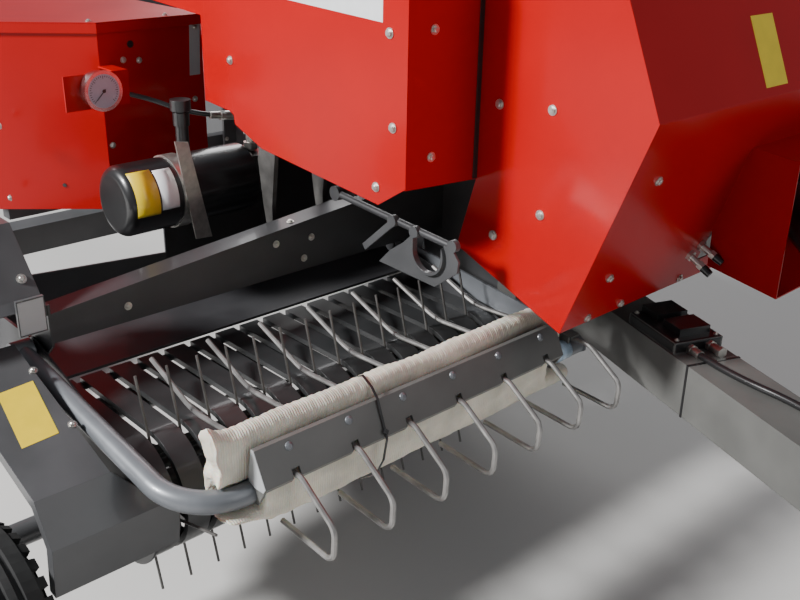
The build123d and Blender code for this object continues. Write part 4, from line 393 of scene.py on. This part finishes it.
# Fasteners and handle of the twine box
box_right_x, box_rear_y = -600, 340
box_bolts = bmesh.new()
side_places = [(-110, 940), (150, 940), (-110, 760), (150, 760), (280, 850)]
add_bolts(box_bolts, [(box_right_x, y, z) for y, z in side_places], to_right, small_bolt)
rear_places = [(x, box_rear_y, z) for x in (-540, -345, -150) for z in (760, 1080)]
add_bolts(box_bolts, rear_places, to_rear, small_bolt)
piece("box_bolts", box_bolts, zinc, "chassis")
lid_top_z, grip_z, handle_x = 1176, 1196, -560
post_radius, grip_radius = 0.005, 0.006
handle = bmesh.new()
for post_y in (90, 210):
    add_bar(handle, (handle_x, post_y, lid_top_z), (handle_x, post_y, grip_z), post_radius)
add_bar(handle, (handle_x, 85, grip_z), (handle_x, 215, grip_z), grip_radius)
piece("lid_handle", handle, zinc, "twine_lid")


def plate(name, corners, look, body, thickness=0.0006):
    """A blank label or plate from its corners."""
    shape = bmesh.new()
    add_patch(shape, corners, thickness)
    piece(name, shape, look, body)


# Blank plates and labels
cover_corners = [(-965, -953, 578.6), (-894, -948, 580.6), (-875, -810, 624.6), (-946, -815, 622.6)]
plate("cover_label", cover_corners, yellow_film, "pickup")
hood_corners = [(336, -1556, 1144.5), (420, -1556, 1144.5), (420, -1499, 1274.5), (336, -1499, 1274.5)]
plate("hood_label", hood_corners, yellow_film, "chassis")
# Black discs for two holes in the twine box: painted shade of their openings
box_holes = bmesh.new()
add_disc(box_holes, metres((-293, box_front_y + 0.1, 1117)), to_front, 0.009, 0.0006)
add_disc(box_holes, metres((-470, -137.2, 774)), (-181, -218, 0), 0.005, 0.0008)
piece("box_holes", box_holes, black_plastic, "chassis")
shield_outline = [(-1074, 1260), (-1074, 1400), (-640, 1400), (-640, 1279)]
shield_corners = [(shield_x - label_lift, y, z) for y, z in shield_outline]
plate("shield_plate", shield_corners, white_film, "chassis")
strip_outline = [(-131, 1022), (-100, 1022), (-92, 1160), (-123, 1160)]
strip_corners = [(x, box_front_y - label_lift, z) for x, z in strip_outline]
plate("box_strip", strip_corners, light_grey, "chassis", 0.0025)
cover_front_y = -716
cover_outline = [(-849, 675), (-797, 675), (-797, 744), (-849, 744)]
cover_corners = [(x, cover_front_y - label_lift, z) for x, z in cover_outline]
plate("cover_plate", cover_corners, light_grey, "chassis")

# Rear part of the shield's sheet, lapped behind it
rear_sheet = bmesh.new()
rear_outline = [
    (-475, 1405),
    (-475, 1204),
    (-555, 1124),
    (-580, 985),
    (-541, 1001),
    (-440, 1009),
    (-440, 1206),
    (-225, 1219),
    (-225, 1248),
    (-262, 1290),
]
add_prism(rear_sheet, rear_outline, -231.6, -229.6)
piece("shield_rear_sheet", rear_sheet, red_sheet, "chassis")

# Turned-down edge of the twine box's lid, and its bolts
lip_low_z, lip_depth = 1150, 23.5
lid_edge = bmesh.new()
lip_outer = [(-66, -216), (-381, -216), (-606, -31), (-606, 345)]
lip_inner = [(-66, -214), (-380, -214), (-604, -30), (-604, 345)]
outer = [lid_edge.verts.new(metres((x, y, lip_low_z))) for x, y in lip_outer]
inner = [lid_edge.verts.new(metres((x, y, lip_low_z))) for x, y in lip_inner]
for index in range(3):
    lid_edge.faces.new((outer[index], outer[index + 1], inner[index + 1], inner[index]))
lip = bmesh.ops.extrude_face_region(lid_edge, geom=list(lid_edge.faces))
lip_top = [part for part in lip["geom"] if isinstance(part, bmesh.types.BMVert)]
bmesh.ops.translate(lid_edge, verts=lip_top, vec=(0, 0, lip_depth / 1000))
bmesh.ops.recalc_face_normals(lid_edge, faces=list(lid_edge.faces))
piece("lid_edge", lid_edge, red_sheet, "twine_lid")
lid_bolts = bmesh.new()
lid_places = [(-387, -190), (-182, -195), (-570, -20), (-570, 250)]
add_bolts(lid_bolts, [(x, y, lid_top_z) for x, y in lid_places], upward, light_bolt)
piece("lid_bolts", lid_bolts, zinc, "twine_lid")


def tank_label(name, look, right, left, low, high):
    """A label bent round the reservoir between two turns in degrees about its middle line."""
    centre = metres((0, -410, 796))
    radius = 0.0854
    low, high = math.radians(low), math.radians(high)
    shape = bmesh.new()
    start = shape.verts.new(centre + Vector((right, -radius * math.cos(low), radius * math.sin(low))))
    bmesh.ops.spin(
        shape,
        geom=[start],
        cent=centre + Vector((right, 0, 0)),
        axis=(-1, 0, 0),
        angle=high - low,
        steps=14,
    )
    grown = bmesh.ops.extrude_edge_only(shape, edges=list(shape.edges))
    moved = [part for part in grown["geom"] if isinstance(part, bmesh.types.BMVert)]
    bmesh.ops.translate(shape, verts=moved, vec=(left - right, 0, 0))
    bmesh.ops.solidify(shape, geom=list(shape.faces), thickness=0.0004)
    bmesh.ops.recalc_face_normals(shape, faces=list(shape.faces))
    piece(name, shape, look, "chassis", smooth=True)


tank_label("tank_label_yellow", yellow_film, -0.462, -0.402, -15, 62)
tank_label("tank_label_white", white_film, -0.398, -0.352, -10, 58)

# Black strip in the gap between the shield and the hood: painted shade of the gap
gap_shade_place, gap_shade_size = metres((-41, -1145.5, 1180)), (0.011, 0.003, 0.478)
gap_shade_strip = bmesh.new()
add_block(gap_shade_strip, Matrix.Translation(gap_shade_place), gap_shade_size)
piece("hood_gap_shade", gap_shade_strip, black_plastic, "chassis")

# The drawbar's own place: its pin, its turn, and its Y axis along the bar
bar_pin = metres((436, -1150, 520))
bar_turn = Matrix.Translation(bar_pin) @ Matrix.Rotation(math.radians(-22), 4, "Z")
bar_ahead = (bar_turn.to_3x3() @ Vector((0, -1, 0))).normalized()


def on_bar(across, along, height):
    """A place in metres beside, along and above the drawbar's pin."""
    return bar_turn @ Vector((across, along, height))


def add_strap(shape, ahead, width):
    """A flat strap round the drawbar's box section, this far ahead of its pin."""
    half_width, half_height = 0.0665, 0.0615
    outline = [(-1, -1), (1, -1), (1, 1), (-1, 1)]
    corners = [shape.verts.new((half_width * x, -ahead, half_height * z)) for x, z in outline]
    moved = grow(shape, shape.faces.new(corners), (0, -width, 0))
    bmesh.ops.transform(shape, verts=corners + moved, matrix=bar_turn)


straps = bmesh.new()
for strap_ahead in (0.452, 0.99):
    add_strap(straps, strap_ahead, 0.006)
bmesh.ops.recalc_face_normals(straps, faces=list(straps.faces))
piece("drawbar_straps", straps, black_plastic, "drawbar")

# Cover, screws and fittings of the valve on the drawbar
hose_height, cap_height, valve_top = 0.0681, 0.071, 0.0872
port_along, port_radius, nut_radius = -0.4005, 0.0098, 0.0125
valve = bmesh.new()
add_block(valve, bar_turn @ Matrix.Translation((0, -0.3125, 0.0738)), (0.1235, 0.1765, 0.0276))
bmesh.ops.bevel(
    valve, geom=list(valve.edges), offset=0.006, segments=3, affect="EDGES", profile=0.5, material=-1
)
for coil_along in (-0.262, -0.345):
    add_block(valve, bar_turn @ Matrix.Translation((0.005, coil_along, 0.0955)), (0.078, 0.062, 0.018))
piece("valve_cover", valve, black_plastic, "drawbar")
fittings = bmesh.new()
for across, along in ((-0.05, -0.236), (0.05, -0.236), (-0.05, -0.389), (0.05, -0.389)):
    add_bolt(fittings, on_bar(across, along, valve_top), upward, valve_bolt)
for across, height in ((-0.02, hose_height), (0.028, cap_height)):
    port = on_bar(across, port_along, height)
    add_disc(fittings, port, bar_ahead, nut_radius, 0.010, 6)
    add_disc(fittings, port, bar_ahead, port_radius, 0.036, 20)
add_disc(fittings, on_bar(0.028, -0.4365, cap_height), bar_ahead, nut_radius, 0.009, 6)
add_disc(fittings, on_bar(0.029, -1.2735, hose_height), bar_ahead, port_radius, 0.036, 20)
piece("valve_fittings", fittings, zinc, "drawbar")

# Couplings on the hood's front, with their caps
couplings = bmesh.new()
caps = bmesh.new()
for x, z, droop in ((372, 752, -0.62), (401, 770, -0.5)):
    seat = metres((x, hood_front_y(z) + 1, z))
    out = Vector((0.1, -1.0, droop)).normalized()
    add_disc(couplings, seat, hood_front_out, 0.0135, 0.009, 6)
    add_disc(couplings, seat, out, 0.0075, 0.040, 20)
    add_disc(couplings, seat + out * 0.030, out, 0.0105, 0.012, 6)
    add_disc(caps, seat + out * 0.042, out, 0.0098, 0.022, 20, 0.0085)
piece("bulkhead_couplings", couplings, zinc, "chassis")
piece("coupling_caps", caps, black_plastic, "chassis")

# Ferrules on both ends of the gauge's hose
gauge_end, bend_end = metres((-402, -274, 1025)), metres((-160, -405, 957))
ferrules = bmesh.new()
along = Vector((79.2, -5.5, -9.9)).normalized()
add_disc(ferrules, bend_end - along * 0.038, along, 0.0088, 0.030, 24, 0.0092)
add_disc(ferrules, bend_end - along * 0.010, along, 0.0125, 0.012, 6)
along = Vector((72, 0, -13)).normalized()
add_disc(ferrules, gauge_end, along, 0.011, 0.010, 6)
add_disc(ferrules, gauge_end + along * 0.008, along, 0.0085, 0.026, 24)
piece("hose_ferrules", ferrules, zinc, "chassis")

# End flange of the clamp plate in light grey: a painted highlight of its sunlit face
flange = bmesh.new()
flange_outline = [
    (-1305, 547),
    (-1312, 557),
    (-1281, 618),
    (-1273, 619),
    (-1263, 574),
    (-1263, 552),
    (-1280, 546),
]
plate_end_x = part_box("windguard_plate")[0].x * 1000
add_prism(flange, flange_outline, plate_end_x - 1.2, plate_end_x - 0.2)
piece("plate_end_flange", flange, light_grey, "windguard")

# Round bolt heads on the clamp plate, one to a rod
rod_spacing = 134
first_rod_x = -635
plate_out = Vector((0, -63, 31))
plate_bolts = bmesh.new()
for index in range(6):
    add_dome(plate_bolts, metres((first_rod_x + rod_spacing * index, -1288.5, 606)), plate_out, 0.0085)
piece("plate_bolts", plate_bolts, tube_grey, "windguard")

# Packing foam: the wrapped sleeve with its hanging front and low end
foam_work = bmesh.new()
foam_work.from_mesh(nodes["foam_sleeve"].data)
bmesh.ops.remove_doubles(foam_work, verts=list(foam_work.verts), dist=0.00005)
foam_front = [
    (-1298, 549),
    (-1300, 520),
    (-1294, 486),
    (-1280, 464),
    (-1262, 462),
    (-1230, 500),
    (-1230, 560),
    (-1262, 575),
]
foam_low = [
    (-1288, 500),
    (-1286, 470),
    (-1262, 446),
    (-1224, 436),
    (-1210, 470),
    (-1216, 506),
    (-1262, 507),
]
add_prism(foam_work, foam_front, -694, 60)
add_prism(foam_work, foam_low, -770, -690)
foam = piece("foam_wrap", foam_work, foam_white, "windguard", smooth=True)
remesh = foam.modifiers.new("remesh", "REMESH")
remesh.mode = "VOXEL"
remesh.voxel_size = 0.0055
depsgraph = bpy.context.evaluated_depsgraph_get()
even_mesh = bpy.data.meshes.new_from_object(foam.evaluated_get(depsgraph))
foam.modifiers.clear()


def rise(value, start, span):
    """How far a value has come through a span, from nought to one."""
    return min(1.0, max(0.0, (value - start) / span))


def crease_foam(vert, right_end):
    """Swell and crease one point of the foam, rib it, and tear the wrap at its right end."""
    place = vert.co
    crease = noise.noise(Vector((place.x * 9, place.y * 22, place.z * 22)))
    wrinkle = noise.noise(Vector((place.x * 34, place.y * 60, place.z * 60)))
    rib_period, torn_length, tube_low_z = 0.017, 0.06, 0.503
    crease_depth, wrinkle_depth, rib_depth, shrink = 0.0045, 0.0016, 0.0008, 0.002
    ribs = math.sin(place.x * 2 * math.pi / rib_period + 3 * crease)
    ribbed = 1.0 if place.z > 0.56 else 0.25
    swell = crease_depth * crease + wrinkle_depth * wrinkle + rib_depth * ribs * ribbed - shrink
    vert.co = place + vert.normal * swell
    near_end = max(0.0, 1.0 - (place.x - right_end) / torn_length)
    torn = noise.noise(Vector((0.0, place.y * 45, place.z * 45)))
    corner = rise(place.z, 0.60, 0.05)
    vert.co.x += near_end * (0.010 * torn + 0.012 - 0.010 * corner)
    vert.co.z += 0.024 * near_end * near_end * corner
    wedge = rise(-place.x, 0.645, 0.12)
    if place.z < 0.505:
        vert.co.z += (tube_low_z - place.z) * 0.9 * wedge


foam_work = bmesh.new()
foam_work.from_mesh(even_mesh)
for _ in range(2):
    bmesh.ops.smooth_vert(
        foam_work,
        verts=list(foam_work.verts),
        factor=0.5,
        use_axis_x=True,
        use_axis_y=True,
        use_axis_z=True,
    )
foam_work.normal_update()
foam_right_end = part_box("foam_sleeve")[0].x
for vert in foam_work.verts:
    crease_foam(vert, foam_right_end)
foam_work.to_mesh(foam.data)
foam_work.free()
for face in foam.data.polygons:
    face.use_smooth = True
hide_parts("foam_sleeve")

# Black tie pulled round the plate and the foam
tie_x, tie_width, tie_lean = -433, 5, 0.06
tie_path = [
    (-1318, 552),
    (-1286, 622),
    (-1268, 640),
    (-1240, 654),
    (-1216, 640),
    (-1205, 600),
    (-1201, 500),
    (-1204, 447),
    (-1228, 424),
    (-1262, 442),
    (-1292, 463),
    (-1312, 505),
]
tie = bmesh.new()
rims = []
for edge_x in (tie_x - tie_width / 2, tie_x + tie_width / 2):
    ring = [tie.verts.new(metres((edge_x + (z - 540) * tie_lean, y, z))) for y, z in tie_path]
    rims += [tie.edges.new(pair) for pair in zip(ring, ring[1:] + ring[:1])]
bmesh.ops.bridge_loops(tie, edges=rims)
bmesh.ops.solidify(tie, geom=list(tie.faces), thickness=0.0014)
bmesh.ops.recalc_face_normals(tie, faces=list(tie.faces))
add_disc(tie, metres((tie_x, -1312, 566)), plate_out, 0.006, 0.006, 4)
piece("foam_tie", tie, black_plastic, "windguard")

# Thin film left on the left end of the guard tube
film_radius = 0.0222
film = bmesh.new()
bmesh.ops.create_cone(
    film,
    cap_ends=False,
    segments=36,
    radius1=film_radius,
    radius2=film_radius,
    depth=0.05,
    matrix=facing(metres((138, -1262, 529)), to_left),
)
bmesh.ops.solidify(film, geom=list(film.faces), thickness=0.0003)
bmesh.ops.recalc_face_normals(film, faces=list(film.faces))
piece("tube_film", film, blue_film, "windguard", smooth=True)


def wheel_nuts(name, body, out, face_x):
    """Five wheel nuts in a circle on the outer face of a rim."""
    hub_y, hub_z, circle = 650, 370, 0.081
    shape = bmesh.new()
    for index in range(5):
        turn = 2 * math.pi * index / 5
        nut = Vector((0, circle * math.cos(turn), circle * math.sin(turn)))
        add_bolt(shape, metres((face_x, hub_y, hub_z)) + nut, out, wheel_nut)
    piece(name, shape, zinc, body)


wheel_nuts("left_nuts", "left_wheel", to_left, 1020)
wheel_nuts("right_nuts", "right_wheel", to_right, -940)


def tyre_section(radius, half, rim_radius, rib_edges, groove):
    """A tyre's section as (radius, across) points: round shoulders, and ribs cut by grooves."""
    wall = radius - rim_radius
    shoulder = [
        (rim_radius, -half * 0.68),
        (rim_radius + 0.012, -half * 0.82),
        (rim_radius + wall * 0.3, -half * 0.985),
        (rim_radius + wall * 0.55, -half),
        (radius - 0.045, -half * 0.96),
        (radius - 0.022, -half * 0.86),
        (radius - 0.006, -half * 0.74),
    ]
    section = list(shoulder)
    for edge in rib_edges:
        crown = radius - 0.001 * abs(edge) / 0.3
        section.append((crown, half * edge - 0.002))
        section.append((radius - groove, half * edge + 0.001))
        section.append((radius - groove, half * edge + 0.008))
        section.append((crown, half * edge + 0.011))
    return section + [(distance, -across) for distance, across in reversed(shoulder)]


def tread_tyre(name, node, body, rib_edges, groove, lugs, rim_radius):
    """A tyre on its rim, with small blocks on the outer ribs."""
    low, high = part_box(node)
    centre = (low + high) / 2
    radius, half = (high.z - low.z) / 2, (high.x - low.x) / 2
    section = tyre_section(radius, half, rim_radius, rib_edges, groove)
    shape = bmesh.new()
    ring = [shape.verts.new(centre + Vector((across, 0, distance))) for distance, across in section]
    wire = [shape.edges.new(pair) for pair in zip(ring, ring[1:] + ring[:1])]
    bmesh.ops.spin(
        shape,
        geom=ring + wire,
        cent=centre,
        axis=(1, 0, 0),
        angle=2 * math.pi,
        steps=lugs * 2,
        use_merge=True,
    )
    bmesh.ops.remove_doubles(shape, verts=list(shape.verts), dist=0.00002)
    bmesh.ops.recalc_face_normals(shape, faces=list(shape.faces))
    lug_size = (half * 0.34, math.pi * radius / lugs, 0.012)
    for side in (-1, 1):
        for index in range(lugs):
            turn = 2 * math.pi * (index + 0.25 * side) / lugs
            place = (
                Matrix.Translation(centre)
                @ Matrix.Rotation(turn, 4, "X")
                @ Matrix.Translation((side * half * 0.84, 0, radius - 0.017))
                @ Matrix.Rotation(side * 0.42, 4, "Y")
            )
            add_block(shape, place, lug_size)
    made = piece(name, shape, rubber, body)
    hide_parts(node)


road_ribs = (-0.42, -0.14, 0.07, 0.35)
tread_tyre("left_tread", "left_tyre", "left_wheel", road_ribs, 0.011, 44, 0.196)
tread_tyre("right_tread", "right_tyre", "right_wheel", road_ribs, 0.011, 44, 0.196)
tread_tyre("gauge_tread", "gauge_tyre", "gauge_wheel", (-0.3, 0.13), 0.006, 30, 0.101)

# Dial, ticks and needle of the pressure gauge
dial_place = metres((-432, -326.6, 1037))
dial = bmesh.new()
add_disc(dial, dial_place + Vector((0, 0.004, 0)), to_front, 0.0395, 0.0035, 48)
piece("gauge_dial", dial, dial_film, "chassis")
tick_circle, first_tick, tick_step = 0.036, 225, 9
ticks = bmesh.new()
for index in range(31):
    turn = math.radians(first_tick - tick_step * index)
    reach = 0.007 if index % 5 == 0 else 0.004
    outward = Vector((math.cos(turn), 0, math.sin(turn)))
    middle = dial_place + Vector((0, 0.0003, 0)) + outward * (tick_circle - reach / 2)
    place = Matrix.Translation(middle) @ Matrix.Rotation(-turn, 4, "Y")
    add_block(ticks, place, (reach, 0.0004, 0.0012))
middle = dial_place + Vector((-0.008, -0.001, -0.008))
place = Matrix.Translation(middle) @ Matrix.Rotation(math.radians(-225), 4, "Y")
add_block(ticks, place, (0.034, 0.0008, 0.0016))
add_disc(ticks, dial_place + Vector((0, 0.0005, 0)), to_front, 0.004, 0.002, 20)
piece("gauge_marks", ticks, black_film, "chassis")


def route_hose(name, node, route, body, radius):
    """A black hose on one smooth line that follows its route's points."""
    curve = bpy.data.curves.new(name, "CURVE")
    curve.dimensions = "3D"
    curve.bevel_depth = radius
    curve.bevel_resolution = 6
    curve.use_fill_caps = True
    curve.resolution_u = 24
    line = curve.splines.new("NURBS")
    line.points.add(len(route) - 1)
    for point, place in zip(line.points, route):
        point.co = (*place, 1.0)
    line.order_u = 3
    line.use_endpoint_u = True
    hose = bpy.data.objects.new(name, curve)
    bpy.context.scene.collection.objects.link(hose)
    curve.materials.append(black_plastic)
    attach(hose, body)
    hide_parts(node)


# Hose from the gauge to the pipe bend
gauge_route = [
    (-0.402, -0.274, 1.025),
    (-0.330, -0.274, 1.012),
    (-0.2392, -0.3995, 0.9669),
    (-0.160, -0.405, 0.957),
]
route_hose("gauge_hose_line", "gauge_hose", gauge_route, "chassis", 0.006)

# Oil hose along the top of the drawbar
bar_route = [
    (-0.020, -0.400),
    (-0.020, -0.470),
    (-0.004, -0.565),
    (0.024, -0.655),
    (0.036, -0.760),
    (0.024, -0.870),
    (0.034, -0.980),
    (0.046, -1.080),
    (0.040, -1.185),
    (0.029, -1.260),
    (0.029, -1.310),
]
hose_route = [on_bar(across, along, hose_height) for across, along in bar_route]
route_hose("drawbar_hose_line", "drawbar_hose", hose_route, "drawbar", 0.008)

# Camera at the photograph's place
yaw, pitch, roll = math.radians(43.2), math.radians(23.2), math.radians(1.1)
ahead = Vector((math.sin(yaw), math.cos(yaw), 0.0))
side = Vector((math.cos(yaw), -math.sin(yaw), 0.0))
up = Vector((0.0, 0.0, 1.0))
view = ahead * math.cos(pitch) - up * math.sin(pitch)
top = up * math.cos(pitch) + ahead * math.sin(pitch)
right = side * math.cos(roll) + top * math.sin(roll)
above = -side * math.sin(roll) + top * math.cos(roll)
camera_data = bpy.data.cameras.new("camera")
camera_data.lens = 45.0
camera_data.sensor_width = 36.0
camera = bpy.data.objects.new("camera", camera_data)
bpy.context.scene.collection.objects.link(camera)
camera_place = Matrix((right, above, -view)).transposed().to_4x4()
camera_place.translation = Vector((-1.514, -2.497, 1.519))
camera.matrix_world = camera_place
bpy.context.scene.camera = camera

# Pale floor
floor_shape = bmesh.new()
bmesh.ops.create_grid(floor_shape, x_segments=1, y_segments=1, size=14.0)
floor_mesh = bpy.data.meshes.new("floor")
floor_shape.to_mesh(floor_mesh)
floor_shape.free()
floor = bpy.data.objects.new("floor", floor_mesh)
bpy.context.scene.collection.objects.link(floor)
floor.data.materials.append(material("floor", (0.62, 0.61, 0.59), 0.9))


def lamp(name, place, target, size, power):
    """A soft square lamp aimed at a point."""
    data = bpy.data.lights.new(name, "AREA")
    data.shape = "SQUARE"
    data.size = size
    data.energy = power
    made = bpy.data.objects.new(name, data)
    bpy.context.scene.collection.objects.link(made)
    made.location = place
    made.rotation_euler = (Vector(target) - Vector(place)).to_track_quat("-Z", "Y").to_euler()


lamp("key", (-6.2, 1.3, 5.0), (-0.2, -0.9, 0.6), 1.2, 1250)
lamp("fill", (1.5, -6.5, 3.5), (0.0, -0.5, 0.6), 4.0, 85)
lamp("back", (4.5, 5.0, 5.0), (0.0, 0.5, 0.6), 3.0, 220)
world = bpy.data.worlds.new("world")
world.use_nodes = True
world.node_tree.nodes["Background"].inputs["Color"].default_value = (0.85, 0.9, 1.0, 1.0)
world.node_tree.nodes["Background"].inputs["Strength"].default_value = 0.2
bpy.context.scene.world = world
